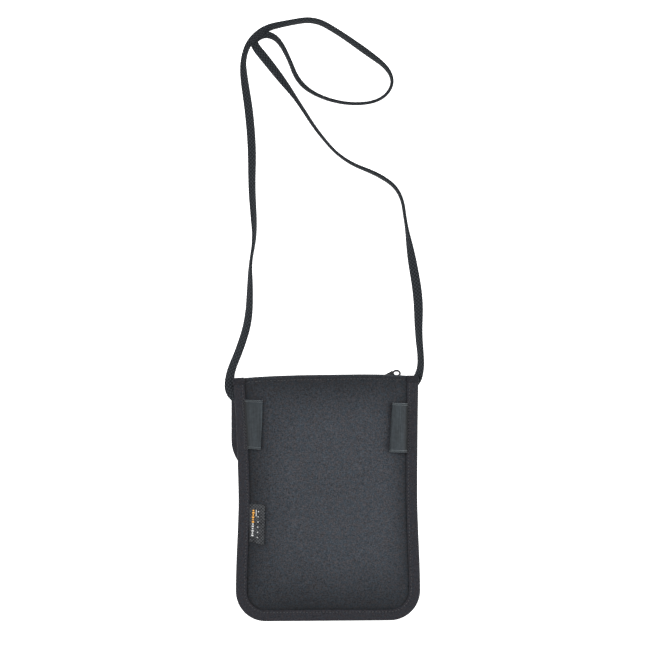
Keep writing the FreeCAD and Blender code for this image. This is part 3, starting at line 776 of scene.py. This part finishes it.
def sheet_grid(inset, low_y, high, rows, columns):
    """Points of a sheet, drawn in from the outline, from low_y up to high, a height or a function
    of x."""
    u = np.sin(np.linspace(-1, 1, columns) * math.pi / 2) * 0.35 + np.linspace(-1, 1, columns) * 0.65
    share = np.linspace(0, 1, rows)
    share = share * 0.75 + (1 - np.cos(share * math.pi)) / 2 * 0.25
    top = high if callable(high) else (lambda x: np.full_like(x, high))
    y_guess = low_y + (top(np.zeros(1))[0] - low_y) * share
    x = u[None, :] * sheet_half(y_guess, inset)[:, None]
    y = low_y + (top(x) - low_y) * share[:, None]
    x = u[None, :] * sheet_half(y, inset)
    return x, y


# ---------------------------------------------------------------- sewing


def round_bar(angle, side, up):
    """Points of a circle of radius 1 in the plane of two directions."""
    return np.cos(angle)[:, None] * side + np.sin(angle)[:, None] * up


def tube(rings):
    """Points and faces of a closed tube through rings of points."""
    count = len(rings[0])
    return np.concatenate(rings), grid_faces(len(rings), count, around=True) + end_caps(len(rings), count)


def stitch_row(line, heights, ups, step=STITCH, thread=0.30, slant=0.0):
    """Points and faces of a row of stitches along a line: each is a short round thread that dives
    into the cloth at both ends."""
    path = spaced(np.column_stack([line, heights, ups]), step)
    gap = 0.32                      # share of the step that lies under the cloth
    angle = circle(6)
    arches = np.linspace(0, 1, 7)
    blocks = []
    for number, (here, there) in enumerate(zip(path, path[1:])):
        start = np.array(here[:3])
        end = np.array(there[:3])
        along = end - start
        length = np.linalg.norm(along)
        along = along / length
        up = here[3:6]
        side = np.cross(along, up)
        shift = slant * (1 if number % 2 else -1)
        first = start + along * length * gap / 2 - side * shift
        last = end - along * length * gap / 2 + side * shift
        rings = []
        for share in arches:
            middle = first + (last - first) * share
            lift = math.sin(math.pi * share) ** 0.5 * thread * 0.9 - thread * 0.75
            radius = thread * (0.55 + 0.45 * math.sin(math.pi * share) ** 0.5)
            rings.append(middle + up * lift + radius * round_bar(angle, side, up))
        blocks.append(tube(rings))
    return join_blocks(blocks)


def join_blocks(blocks):
    """One set of points and faces from several."""
    points = []
    faces = []
    count = 0
    for block_points, block_faces in blocks:
        points.append(block_points)
        faces += [tuple(index + count for index in face) for face in block_faces]
        count += len(block_points)
    return np.concatenate(points), faces


# ---------------------------------------------------------------- the sheets

HEM = 3.6                           # from the top edge to the hem's topstitching
FOLD = 1.3                          # how far in and down the top edge's fold is rounded


def back_height(x, y):
    """Height of the back sheet's outer side: crowned and uneven, puckered along its seams and its
    hem, with a shallow dent at the lower left."""
    edge = TAPE - 0.6
    rise = CROWN_Z - BACK_EDGE_Z
    top = top_line(x)
    height = BACK_EDGE_Z + crowned(x, y, edge, rise, 26.0, high_y=TOP_CORNER_Y + 14)
    side = np.maximum(sheet_half(y, edge) - np.abs(x), 0)
    from_top = top - y
    height += 0.38 * ripple(x, y, 3, 95.0) * smooth_step(side / 30) * smooth_step(from_top / 30)
    height += 0.10 * ripple(x, y, 5, 21.0) * smooth_step(side / 10)
    pucker = np.sin(y * TAU / 7.3 + 1.3 * np.sin(y / 11.0)) * np.exp(-side / 4.5)
    height += 0.16 * pucker * smooth_step(side / 2)
    dent = np.exp(-((x + 50) / 13) ** 2 - ((y + 74) / 10) ** 2)
    height -= 0.9 * dent
    height -= 0.30 * bell(from_top - HEM, 0.75) * smooth_step((side + 2) / 4)
    hem_pucker = np.sin(x * TAU / STITCH) * bell(from_top - HEM, 1.4)
    height += 0.05 * hem_pucker
    height -= FOLD * dip(np.clip(1 - from_top / FOLD, 0, 1))
    return height


def cloth_sheet(name, points, faces, rim=1.0):
    """A sheet between the seams, with painted shade, and rim any painted highlight on top of it."""
    shade = painted_sheet_shade(points[:, 0], points[:, 1]) * rim
    return piece(name, leant(points), faces, SHEET_CLOTH, shade=shade)


def back_panel():
    """The back sheet, with its top edge turned under and stitched."""
    x, y = sheet_grid(SHEET_INSET, BOTTOM_Y + SHEET_INSET, top_line, 250, 170)
    z = back_height(x, y)
    hem = smooth_step(1 - (top_line(x) - y) / HEM)
    thick = CLOTH + 0.75 * hem - 0.35 * smooth_step(1 - (top_line(x) - y) / 0.6) * hem
    points, faces = layered(x, y, z, z - thick)
    # A painted highlight along the rolled top edge.
    rim = 1 + 0.6 * bell(top_line(points[:, 0]) - points[:, 1], 1.0)
    panel = cloth_sheet("back_sheet", points, faces, rim)
    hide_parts("back_panel")
    line_x = np.linspace(-HALF_TOP + TAPE + 1.5, HALF_TOP - TAPE - 1.5, 300)
    line_y = top_line(line_x) - HEM
    heights = back_height(line_x, line_y) + 0.12
    points, faces = stitch_row(np.column_stack([line_x, line_y]), heights, upward(len(line_x)), thread=0.22)
    sewing = closed_piece("hem_stitches", leant(points), faces, THREAD)


def front_height(x, y):
    """Height of the front sheet's side that faces the pocket."""
    seam_z = 4.65
    rise = 2.45
    return seam_z + crowned(x, y, TAPE, rise, 20.0, high_y=FRONT_HIGH[1] + 2)


def front_panel():
    """The main compartment's front sheet, up to the zip."""
    high = FRONT_HIGH[1] - 0.7
    x, y = sheet_grid(SHEET_INSET, BOTTOM_Y + SHEET_INSET, high, 120, 90)
    z = front_height(x, y)
    hem = smooth_step(1 - (high - y) / 2.5)
    points, faces = layered(x, y, z + CLOTH, z - 0.7 * hem)
    panel = cloth_sheet("front_sheet", points, faces)
    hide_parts("front_panel")


def pocket_height(x, y):
    """Height of the pocket sheet's outer side, which the pouch lies on below the flap."""
    full = 4.05
    under_flap = 1.55               # how deep the sheet bellies where the flap lies below it
    belly = crowned(x, y, TAPE, 1.0, 17.0)
    below_flap = smooth_step((FLAP_LOW[1] - 1.5 - y) / 11.0)
    depth = under_flap + (full - under_flap) * below_flap
    height = full - belly * depth
    return height + 0.08 * ripple(x, y, 11, 24.0) * belly


def pocket_panel():
    """The front pocket's sheet, from the lower edge to its hemmed mouth."""
    high = POCKET_HIGH[1] - 0.6
    x, y = sheet_grid(SHEET_INSET, BOTTOM_Y + SHEET_INSET, high, 170, 130)
    z = np.maximum(pocket_height(x, y), 0.03)
    hem = smooth_step(1 - (high - y) / 2.0)
    points, faces = layered(x, y, z + CLOTH + 0.5 * hem, z)
    panel = cloth_sheet("pocket_sheet", points, faces)
    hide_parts("pocket_panel")


# ---------------------------------------------------------------- bindings


def fold_profile(wide, low, high, wall, lip=0.25):
    """A tape folded round an edge: a thin channel, open inwards. The first number is the distance
    in from the outer edge."""
    middle = (low + high) / 2
    half = (high - low) / 2
    nose = np.linspace(math.pi / 2, 3 * math.pi / 2, 13)

    def rounded(radius, angles):
        return [(half + radius * math.cos(angle) * 0.9, middle + radius * math.sin(angle))
                for angle in angles]

    # How far in from the lip the outer side eases off, and how far below its full height it is.
    easing = ((0, lip), (0.25, lip - 0.18), (1.2, 0.02), (3.5, 0))
    outer = [(wide - run, high - fall) for run, fall in easing]
    outer += rounded(half, nose)
    outer += [(wide - run, low + fall) for run, fall in easing[::-1]]
    inner = [(wide - 0.1, low + lip + wall * 0.6), (wide - 1.4, low + wall)]
    inner += rounded(half - wall, nose[::-2])
    inner += [(wide - 1.4, high - wall), (wide - 0.1, high - lip - wall * 0.6)]
    return np.array(outer + inner)


def bound_edge(name, line, profile, stitch_in, body, wobble, seed, painted_shading=1.0):
    """A folded tape swept along an edge, pressed in under its sewing, with stitches on both
    sides."""
    path = spaced(np.column_stack([line, np.zeros(len(line))]), 0.85)
    if body == "pouch":
        path = leant(path)
    along = tangents(path)
    side = np.cross([0, 0, 1.0], along)
    run = lengths_along(path)
    pick = np.random.default_rng(seed)
    phases = pick.uniform(0, TAU, 4)
    drift = sum(np.sin(run / pace + phase) for pace, phase in zip((9.0, 15.0, 23.0, 37.0), phases)) / 4
    shapes = np.repeat(profile[None], len(path), axis=0).copy()
    middle = (profile[:, 1].max() + profile[:, 1].min()) / 2
    upper = np.sign(profile[:, 1] - middle)
    valley = bell(profile[:, 0] - stitch_in, 1.0)
    pinch = 0.5 + 0.5 * np.cos(run * TAU / STITCH)
    shapes[..., 1] -= (upper * valley)[None, :] * (0.10 + 0.10 * pinch)[:, None]
    puff = bell(profile[:, 0] - 2.6, 2.0)
    shapes[..., 1] += (upper * puff)[None, :] * (0.08 * drift)[:, None]
    shapes[..., 0] += (profile[:, 0] > stitch_in)[None, :] * (wobble * drift)[:, None]
    points, faces, tape = sweep(path, side, upward(len(path)), shapes)
    # The tape's tone argument paints light onto the whole tape where it is above 1, and none at 1.
    tape_piece = closed_piece(name, points, faces, TAPE_CLOTH, body=body, tape=tape,
                              shade=np.full(len(points), painted_shading))
    seam = path[:, :2] + side[:, :2] * stitch_in
    blocks = []
    for sign in (1, -1):
        height = (profile[:, 1].max() if sign > 0 else profile[:, 1].min()) - sign * 0.16
        blocks.append(stitch_row(seam, np.full(len(seam), height), upward(len(seam), float(sign))))
    sewing = closed_piece(name + "_stitches", *join_blocks(blocks), THREAD, body=body)
    return tape_piece


def wrapped_end(side):
    """The end of the edge tape, folded over the top corner."""
    left = HALF_TOP - TAPE - 0.2
    right = HALF_TOP + 0.15
    u = np.linspace(0, 1, 16)
    v = np.linspace(0, 1, 12)
    x = (left + (right - left) * u)[None, :] + 0 * v[:, None]
    low_y = TOP_CORNER_Y - 4.6
    high_y = TOP_CORNER_Y + 0.55
    y = low_y + (high_y - low_y) * v[:, None] + 0.35 * np.sin(u * math.pi)[None, :]
    roll = np.clip((v - 0.72) / 0.28, 0, 1)[:, None]
    shoulder = np.clip((np.abs(u - 0.5) - 0.36) / 0.14, 0, 1)[None, :]
    lift = TAPE_HIGH + 0.38 - 1.5 * dip(roll) - 1.1 * dip(shoulder)
    base = TAPE_LOW - 0.25 + 1.4 * dip(roll) + 1.0 * dip(shoulder)
    return layered(x * side, y, lift + 0.06 * np.sin(x * 2.1 + y * 1.7), base)


def edge_binding():
    """The tape round three edges, its wrapped ends and the tacks that hold the side loops."""
    profile = fold_profile(TAPE, TAPE_LOW, TAPE_HIGH, TAPE_WALL)
    line = edge_line(0.0, TOP_CORNER_Y + 0.9)
    tape = bound_edge("edge_tape", line, profile, TAPE - 1.7, "pouch", 0.16, 21)
    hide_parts("edge_binding")
    points, faces = join_blocks([wrapped_end(-1), wrapped_end(1)])
    # The wrapped ends are the same tape painted darker: painted shade on the rolled corners.
    caps = closed_piece("edge_tape_ends", leant(points), faces, TAPE_CLOTH, tape=points[:, :2],
                        shade=np.full(len(points), 0.75))
    loops = []
    for side, low, high in ((-1, 37.0, 76.5), (1, 34.8, 74.0)):
        for distance in (TAPE - 2.6, TAPE - 0.9):    # two rows of tacks
            y = np.linspace(low, high, 60)
            x = side * (half_width(y) - distance)
            height = np.full(len(y), TAPE_HIGH - 0.02)
            loops.append(stitch_row(np.column_stack([x, y]), height, upward(len(y)), step=1.25, slant=0.42))
    points, faces = join_blocks(loops)
    tacks = closed_piece("loop_tacks", leant(points), faces, THREAD)


# ---------------------------------------------------------------- side loops

LOOP_WALL = 0.6
LOOP_STEPS = 26


def loop_section(tall, round_share, wall):
    """The section of a tape tube as (share of its width from the seam to the fold, height): flat
    where it is sewn down, risen over its middle and rounded at its fold."""
    start = 0.16 if wall else 0.0
    stop = 1.0 - wall / 12.0
    u = start + (stop - start) * (1 - np.cos(np.linspace(0, math.pi, LOOP_STEPS))) / 2
    into = np.clip((u - (stop - round_share)) / round_share, 0, 1)
    nose = np.sqrt(np.maximum(1 - into ** 2, 0))
    rise = 1 - np.exp(-u / 0.17)
    crest = 1.25 + (tall - 1.25) * rise
    upper = crest * (0.5 + 0.5 * nose) - wall
    lower = crest * (0.5 - 0.5 * nose) + wall
    upper = np.maximum(upper, lower)
    ring_u = np.concatenate([u, u[-2::-1]])
    ring_z = np.concatenate([upper, lower[-2::-1]])
    return ring_u, ring_z


def side_loop(node, side, seam, fold, heights, round_share, painted_fold_highlight, bead, pale):
    """A tape tube sewn down along the seam and folded over at its inner side. seam and fold are its
    distances from the pouch's middle at its lower and upper end, and heights its heights there.
    bead is the half width of the sewn rims, pale the tone of its tape. Shade is painted onto the
    tape towards its sides and at the seam, and a highlight onto its fold."""
    low, high = box_mm(node)
    rows = 50
    share = np.linspace(0, 1, rows)
    grids = []
    painted_shadings = []
    for wall in (0.0, LOOP_WALL):
        rings = []
        for part in share:
            tall = heights[0] + (heights[1] - heights[0]) * part
            tall += 0.35 * (math.exp(-part / 0.06) + math.exp(-(1 - part) / 0.06))
            ring_u, ring_z = loop_section(tall, round_share, wall)
            near = seam[0] + (seam[1] - seam[0]) * part
            far = fold[0] + (fold[1] - fold[0]) * part
            bow = 0.22 * math.sin(part * math.pi)
            x = side * (near + (far - bow - near) * ring_u)
            y = low[1] + (high[1] - low[1]) * part + 0.5 * (ring_u - 0.5) * (1 if side > 0 else -1)
            z = back_height(x, np.full_like(x, y.mean())) + 0.02 + ring_z
            rings.append(np.column_stack([x, y, z]))
        grids.append(np.array(rings))
        # Painted shade: darker towards the tube's sides and in a dark line at the seam, where it dives under
        # the edge tape; a painted highlight on the fold.
        painted_shading = 0.80 + 0.16 * np.sin(math.pi * ring_u) + painted_fold_highlight * bell(ring_u - 0.97, 0.05)
        painted_shading *= 1 - 0.7 * bell(np.maximum(ring_u - 0.05, 0), 0.09)
        painted_shadings.append(np.tile(painted_shading * pale, rows))
    columns = grids[0].shape[1]
    count = rows * columns
    points = np.concatenate([grid.reshape(-1, 3) for grid in grids])
    faces = grid_faces(rows, columns, around=True)
    faces += grid_faces(rows, columns, count, turned=True, around=True)
    for row in (0, rows - 1):
        for column in range(columns):
            here = row * columns + column
            there = row * columns + (column + 1) % columns
            faces.append((here, there, there + count, here + count))
    girth = lengths_along(grids[0][0])
    tape = np.stack(np.broadcast_arrays(girth[None, :], grids[0][:, :1, 1]), axis=-1).reshape(-1, 2)
    loop = closed_piece(node + "_tape", points, faces, LOOP_TAPE, tape=np.concatenate([tape, tape]),
                        shade=np.concatenate(painted_shadings))
    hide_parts(node)
    # Beads along the tape's ends: real ridges, in pale thread that paints their highlight.
    beads = []
    grids[0][..., 2] += 0.02
    for part in (0.006, 0.040, 0.962, 0.994):
        row = int(part * (rows - 1) + 0.5)
        ring = grids[0][row][2:LOOP_STEPS - 1].copy()
        ring[:, 1] += (part * (rows - 1) - row) * (high[1] - low[1]) / (rows - 1)
        ring = spaced(ring, 0.4)
        along = tangents(ring)
        across = np.tile([0, 1.0, 0], (len(ring), 1))
        up = np.cross(along, across) * side
        angle = circle(8)
        profile = np.stack([np.cos(angle) * bead, np.sin(angle) * bead * 0.65], axis=1)
        beads.append(sweep(ring, across, up, profile)[:2])
    rims = closed_piece(node + "_rims", *join_blocks(beads), RIM_HIGHLIGHT_THREAD)


def side_loops():
    """The left loop lies nearly flat; the right one stands open."""
    side_loop("side_loop_left", -1, seam=(62.4, 65.0), fold=(52.0, 50.5), heights=(2.2, 1.9),
              round_share=0.10, painted_fold_highlight=0.75, bead=0.13, pale=0.9)
    side_loop("side_loop_right", 1, seam=(61.6, 62.0), fold=(47.6, 49.9), heights=(5.2, 4.6),
              round_share=0.30, painted_fold_highlight=0.10, bead=0.25, pale=1.05)


# ---------------------------------------------------------------- woven label

LABEL_THICK = 0.5


def label_height(x, y):
    """The folded label lies on the back sheet and lifts a little at its fold."""
    share = (x - LABEL_LOW[0]) / (LABEL_HIGH[0] - LABEL_LOW[0])
    return np.maximum(back_height(x, y), LABEL_LOW[2] - 0.1) + 0.35 + 0.75 * share + 0.12 * np.sin(y / 5.0)


def yarn_bar(left, right, low, high):
    """A block of raised yarn on the label."""
    x, y = even_grid(left, right, low, high, max(3, int((high - low) / 0.5)), 4)
    z = label_height(x, y) + LABEL_THICK
    return layered(x, y, z + 0.16, z - 0.1)


def woven_label():
    """A folded woven label: two leaves joined at the fold on its right, with a plain pattern of an
    orange and a white stripe and a row of dots."""
    low = LABEL_LOW
    high = LABEL_HIGH
    u, v = even_grid(0, 1, 0, 1, 40, 26)
    right = high[0] - 1.0 * (1 - v) + 0.9
    x = low[0] - 0.6 + (right - low[0] + 0.6) * u
    y = low[1] + (high[1] - low[1]) * v + (2.2 - 2.6 * u) * (1 - v) + 0.15 * np.sin(u * 7)
    lift = label_height(x, y)
    turn = 0.28 * dip(np.clip((u - 0.93) / 0.07, 0, 1))
    points, faces = layered(x, y, lift + LABEL_THICK - turn, lift + turn - 0.15)
    label = piece("label_cloth_fold", points, faces, LABEL_CLOTH)
    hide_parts("woven_label")
    column = low[0] + 1.9
    top_y = high[1] - 4.4
    pitch = 1.75
    dashes = {"orange": [], "white": []}
    slant = 0.045                       # how far the pattern leans for each millimetre of height

    def bar(colour, from_column, wide, start, tall):
        left = column + from_column - wide / 2 - slant * (top_y - start)
        dashes[colour].append(yarn_bar(left, left + wide, start - tall, start))

    for number in range(12):
        colour = "orange" if number < 6 else "white"
        bar(colour, 0.7, 1.7 if number % 2 else 1.1, top_y - number * pitch, pitch * 0.68)
    bar("white", 2.8, 0.6, top_y, 5.2)
    for number in range(6):
        bar("white", 4.6, 0.8, top_y - 1.0 - number * 4.0, 0.8)
    for colour, material in (("orange", ORANGE_YARN), ("white", WHITE_YARN)):
        points, faces = join_blocks(dashes[colour])
        yarn = closed_piece("label_yarn_" + colour, points, faces, material)


# ---------------------------------------------------------------- zip

ZIP_Z = 3.45                        # height of the coils' middle
COIL_PITCH = 1.25
PIN_IN = 5.5                        # from the slider's left end to the pull's pin
PIN_Z = 1.1                         # height of that pin


def zip_tapes():
    """Two thin tapes with a cord edge under each coil."""
    for node in ("zip_tape_front", "zip_tape_back"):
        low, high = box_mm(node)
        x, v = even_grid(low[0], high[0], 0, 1, 14, 121)
        far = np.minimum(high[1], top_line(x) - TOP_SLOPE * np.abs(x) / SLOPE_ARM - 1.0)
        y = low[1] + (far - low[1]) * v
        wave = 0.05 * ripple(x, y, 31, 17.0)
        inner = v if node == "zip_tape_front" else 1 - v
        bead = 0.12 * bell(1 - inner, 0.12)
        points, faces = layered(x, y, high[2] + wave + bead - 0.05, low[2] + wave - bead + 0.05)
        tape = piece(node + "_weave", points, faces, ZIP_CLOTH)
        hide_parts(node)


def zip_coils():
    """Each coil is a flattened helix of nylon, half a pitch apart so that they mesh."""
    for node, shift in (("zip_coil_front", 0.0), ("zip_coil_back", 0.5)):
        low, high = box_mm(node)
        middle = (low + high) / 2
        turns = int((high[0] - low[0]) / COIL_PITCH)
        angle = np.linspace(0, turns * TAU, turns * 14)
        x = low[0] + 0.3 + COIL_PITCH * (angle / TAU + shift)
        inward = 1 if node == "zip_coil_front" else -1
        y = middle[1] + inward * 0.18 + np.cos(angle) * 0.62
        z = middle[2] + np.sin(angle) * 0.44
        line = np.stack([x, y, z], axis=1)
        line = line[line[:, 0] < high[0] - 0.2]
        along = tangents(line)
        side = np.cross(along, [1.0, 0, 0])
        side /= np.linalg.norm(side, axis=1)[:, None]
        up = np.cross(side, along)
        turn = np.linspace(0, TAU, 7, endpoint=False)
        profile = np.stack([np.cos(turn), np.sin(turn)], axis=1) * 0.2
        coil = closed_piece(node + "_helix", *sweep(line, side, up, profile)[:2], NYLON)
        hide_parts(node)


def slab(left, low, right, high, bottom, top, corner):
    """A plate with rounded corners and eased edges, as points and faces."""
    edge = 0.12
    centres = [(right - corner, high - corner, 0), (left + corner, high - corner, 1),
               (left + corner, low + corner, 2), (right - corner, low + corner, 3)]
    ring = []
    for x, y, quarter in centres:
        for angle in np.linspace(0, math.pi / 2, 6) + quarter * math.pi / 2:
            ring.append((x, y, math.cos(angle), math.sin(angle)))
    ring = np.array(ring)
    levels = [(bottom, corner - edge), (bottom + edge * 0.4, corner - edge * 0.3), (bottom + edge, corner),
              (top - edge, corner), (top - edge * 0.4, corner - edge * 0.3), (top, corner - edge)]
    layers = []
    for z, radius in levels:
        layer = ring[:, :2] + ring[:, 2:] * radius
        layers.append(np.column_stack([layer, np.full(len(layer), z)]))
    return tube(layers)


def rod(start, end, radius):
    """A round bar with slightly domed ends."""
    start = np.array(start, dtype=float)
    end = np.array(end, dtype=float)
    axis = (end - start) / np.linalg.norm(end - start)
    helper = np.array([0, 0, 1.0]) if abs(axis[2]) < 0.9 else np.array([1.0, 0, 0])
    side = np.cross(axis, helper)
    side /= np.linalg.norm(side)
    up = np.cross(side, axis)
    circle_points = round_bar(circle(14), side, up)
    stations = ((start, 0.7), (start + axis * 0.15, 1.0), (end - axis * 0.15, 1.0), (end, 0.7))
    return tube([centre + radius * scale * circle_points for centre, scale in stations])


def zip_slider():
    """The slider: two plates with turned flanges, the post between the coils, and the lugs and pin
    that hold the pull."""
    low, high = SLIDER_LOW, SLIDER_HIGH
    middle_y = (low[1] + high[1]) / 2
    pin_x = low[0] + PIN_IN
    plate_low = ZIP_Z - 1.55
    parts = [slab(low[0], low[1], high[0], high[1], plate_low, plate_low + 0.65, 1.4),
             slab(low[0] + 0.2, low[1] + 0.2, high[0] - 0.2, high[1] - 0.2,
                  high[2] - 0.6, high[2] - 0.03, 1.4),
             slab(high[0] - 3.0, middle_y - 0.2, high[0] - 0.5, middle_y + 0.2,
                  plate_low, high[2] - 0.2, 0.18)]
    for side in (-1, 1):
        flange = middle_y + side * ((high[1] - low[1]) / 2 - 0.35)
        parts.append(slab(low[0] + 1.2, flange - 0.3, high[0] - 1.2, flange + 0.3,
                          plate_low - 0.18, plate_low + 0.9, 0.28))
        lug = middle_y + side * 1.6
        parts.append(slab(pin_x - 1.0, lug - 0.38, pin_x + 1.0, lug + 0.38,
                          low[2] + 0.02, plate_low + 0.2, 0.36))
    parts.append(rod((pin_x, middle_y - 1.7, PIN_Z), (pin_x, middle_y + 1.7, PIN_Z), 0.34))
    slider = closed_piece("slider_casting", *join_blocks(parts), ENAMEL, body="slider")
    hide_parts("zip_slider")


def zip_pull():
    """The pull: a barrel on the slider's pin, a flat bowed arm and an oval ring of wire."""
    wire = 0.78                         # half the wire's width
    ring_in = 2.8                       # from the pull's corner to the ring's centre
    ring_wide, ring_high = 2.7, 2.1     # half width and half height of the ring's centre line
    centre = np.array([PULL_HIGH[0] - ring_in, PULL_HIGH[1] - ring_in, PIN_Z])
    hinge = np.array([SLIDER_LOW[0] + PIN_IN, (SLIDER_LOW[1] + SLIDER_HIGH[1]) / 2, PIN_Z])
    turn = circle(16)
    sides = len(turn)
    rings = []
    for angle in circle(48):
        spoke = np.array([math.cos(angle), math.sin(angle), 0])
        out = np.array([spoke[0] * ring_high, spoke[1] * ring_wide, 0])
        out /= np.linalg.norm(out)
        rings.append(centre + spoke * [ring_wide, ring_high, 0]
                     + np.cos(turn)[:, None] * out * wire
                     + np.sin(turn)[:, None] * np.array([0, 0, wire * 0.85]))
    count = len(rings) * sides
    open_faces = grid_faces(len(rings) + 1, sides, around=True)
    ring_faces = [tuple(index % count for index in face) for face in open_faces]
    parts = [(np.concatenate(rings), ring_faces)]
    towards = centre - hinge
    length = np.linalg.norm(towards)
    towards /= length
    across = np.array([-towards[1], towards[0], 0])
    reach = length - 1.9
    stations = np.linspace(0.75, reach, 22)
    arm = []
    oval = np.stack([np.cos(turn), np.sin(turn)], axis=1)
    for distance, swell in zip(stations, smooth_step(stations / (0.45 * reach))):
        width = 0.85 + 1.35 * swell
        bow = across * 1.25 * swell
        arm.append(hinge + towards * distance + bow + oval[:, :1] * across * width
                   + oval[:, 1:] * np.array([0, 0, 0.4]))
    parts.append(tube(arm))
    parts.append(rod(hinge - [0, 1.0, 0], hinge + [0, 1.0, 0], 0.74))
    pull = closed_piece("pull_wire", *join_blocks(parts), ENAMEL, body="pull")
    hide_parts("zip_pull")


# ---------------------------------------------------------------- flap

FLAP_CORNER = 30.0


def flap_half(y, inset):
    """The flap's left and right limits at a height, with its rounded lower corners."""
    radius = FLAP_CORNER - inset
    into = np.clip(FLAP_LOW[1] + FLAP_CORNER - y, 0, radius)
    drawn_in = radius - np.sqrt(np.maximum(radius ** 2 - into ** 2, 0))
    return FLAP_LOW[0] + inset + drawn_in, FLAP_HIGH[0] - inset - drawn_in


def flap_line():
    """The flap's edge from its root at the left, round its lower end, to its root at the right."""
    y = np.linspace(FLAP_HIGH[1], FLAP_LOW[1] + FLAP_CORNER, 40)
    angle = np.linspace(0, math.pi / 2, 34)[1:]
    x_left = np.concatenate([np.full(len(y), FLAP_LOW[0]),
                             FLAP_LOW[0] + FLAP_CORNER - FLAP_CORNER * np.cos(angle)])
    y_all = np.concatenate([y, FLAP_LOW[1] + FLAP_CORNER - FLAP_CORNER * np.sin(angle)])
    left = np.stack([x_left, y_all], axis=1)
    centre = (FLAP_LOW[0] + FLAP_HIGH[0]) / 2
    right = np.stack([2 * centre - left[::-1, 0], left[::-1, 1]], axis=1)
    return np.concatenate([left, right])


def flap():
    """The flap's sheet, rounded at its lower corners, and the tape round it."""
    inset = 0.9
    rows = 90
    columns = 130
    y = np.linspace(FLAP_LOW[1] + inset, FLAP_HIGH[1] - 0.1, rows)
    left, right = flap_half(y, inset)
    u = np.linspace(0, 1, columns)[None, :]
    x = left[:, None] + (right - left)[:, None] * u
    y = y[:, None] + 0 * x
    middle = 0.62 + 0.05 * ripple(x, y, 41, 30.0)
    points, faces = layered(x, y, middle + CLOTH - 0.02, middle - 0.02)
    cloth = piece("flap_sheet", points, faces, SHEET_CLOTH, body="flap")
    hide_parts("flap_panel")
    profile = fold_profile(TAPE, 0.02, FLAP_HIGH[2], 0.42, 0.2)
    # The flap's tape is painted lighter than the same tape round the pouch: painted light where it lies in
    # shade.
    tape = bound_edge("flap_tape", flap_line(), profile, TAPE - 1.7, "flap", 0.14, 51, painted_shading=1.3)
    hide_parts("flap_binding")


def flap_root():
    """The cloth that joins the flap to the front sheet, bending at the flap's hinge."""
    low, high = box_mm("flap_seam_strip")
    columns = 90
    x = np.linspace(FLAP_LOW[0] + TAPE + 6.0, FLAP_HIGH[0] - TAPE - 3.0, columns)
    angle = np.linspace(0, math.pi, 18)
    bottom_z = 0.9
    top_z = high[2] - 0.1
    middle = (top_z + bottom_z) / 2
    radius = (top_z - bottom_z) / 2
    bend_y = high[1] - radius - 0.4
    run_y = [low[1] - 1.5, low[1] + 1.0, bend_y]
    run_y += list(bend_y + radius * 0.9 * np.sin(angle[1:-1]))
    run_y += [bend_y, low[1] + 1.0, low[1] - 3.0]
    run_z = [top_z] * 3 + list(middle + radius * np.cos(angle[1:-1])) + [bottom_z] * 3
    run = spaced(np.column_stack([run_y, run_z]), 0.35)
    along = tangents(np.column_stack([run, np.zeros(len(run))]))[:, :2]
    side = np.stack([-along[:, 1], along[:, 0]], axis=1)
    grids = []
    for shift in (0.24, -0.24):
        grid = np.zeros((len(run), columns, 3))
        grid[..., 0] = x[None, :]
        grid[..., 1] = (run[:, 0] + side[:, 0] * shift)[:, None]
        grid[..., 2] = (run[:, 1] + side[:, 1] * shift)[:, None]
        grids.append(grid)
    points, faces = closed_sheet(*grids)
    root = closed_piece("flap_root_cloth", points, faces, SHEET_CLOTH, body=None)
    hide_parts("flap_seam_strip")
    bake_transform(root)


def closure():
    """Hook strip and loop strip, covered in short pile."""
    for node, body, side in (("hook_strip", "flap", 1), ("loop_strip", "pouch", -1)):
        low, high = box_mm(node)
        x, y = even_grid(low[0], high[0], low[1], high[1], 40, 120)
        border = np.minimum(np.minimum(x - low[0], high[0] - x), np.minimum(y - low[1], high[1] - y))
        tuft = np.abs(np.sin(x * TAU / 1.7) * np.sin(y * TAU / 1.9)) * 0.14 * smooth_step(border / 1.5)
        if side > 0:
            points, faces = layered(x, y, low[2] + 0.22 + tuft, low[2] - 0.1)
        else:
            points, faces = layered(x, y, high[2] + 0.1, high[2] - 0.22 - tuft)
        strip = piece(node + "_pile", points, faces, PILE, body=body)
        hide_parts(node)


def cord_tails():
    """The cord's ends, cut flat and sewn in between the leaves of the edge tape."""
    for node, ending in (("cord_tail_left", cord_points[0]), ("cord_tail_right", cord_points[-1])):
        side = 1 if ending[0] > 0 else -1
        x, y = even_grid(62.6, 67.6, -3.5, 3.5, 12, 14)
        x = side * x
        y = ending[1] + y
        wave = 0.03 * np.sin(x * 3.0) * np.sin(y * 2.6)
        points, faces = layered(x, y, 6.02 + wave, 5.72 + wave)
        tail = closed_piece(node + "_end", leant(points), faces, CORD_YARN)
        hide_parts(node)


def plain_nodes():
    """CAD nodes whose own shape stays, with their cloth or metal."""
    for node, material in (("zip_stops", ENAMEL), ("zip_facing", SHEET_CLOTH)):
        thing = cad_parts[node]
        for index in range(len(thing.material_slots)):
            thing.material_slots[index].material = material


back_panel()
front_panel()
pocket_panel()
edge_binding()
side_loops()
woven_label()
zip_tapes()
zip_coils()
zip_slider()
zip_pull()
flap()
flap_root()
closure()
cord_tails()
plain_nodes()
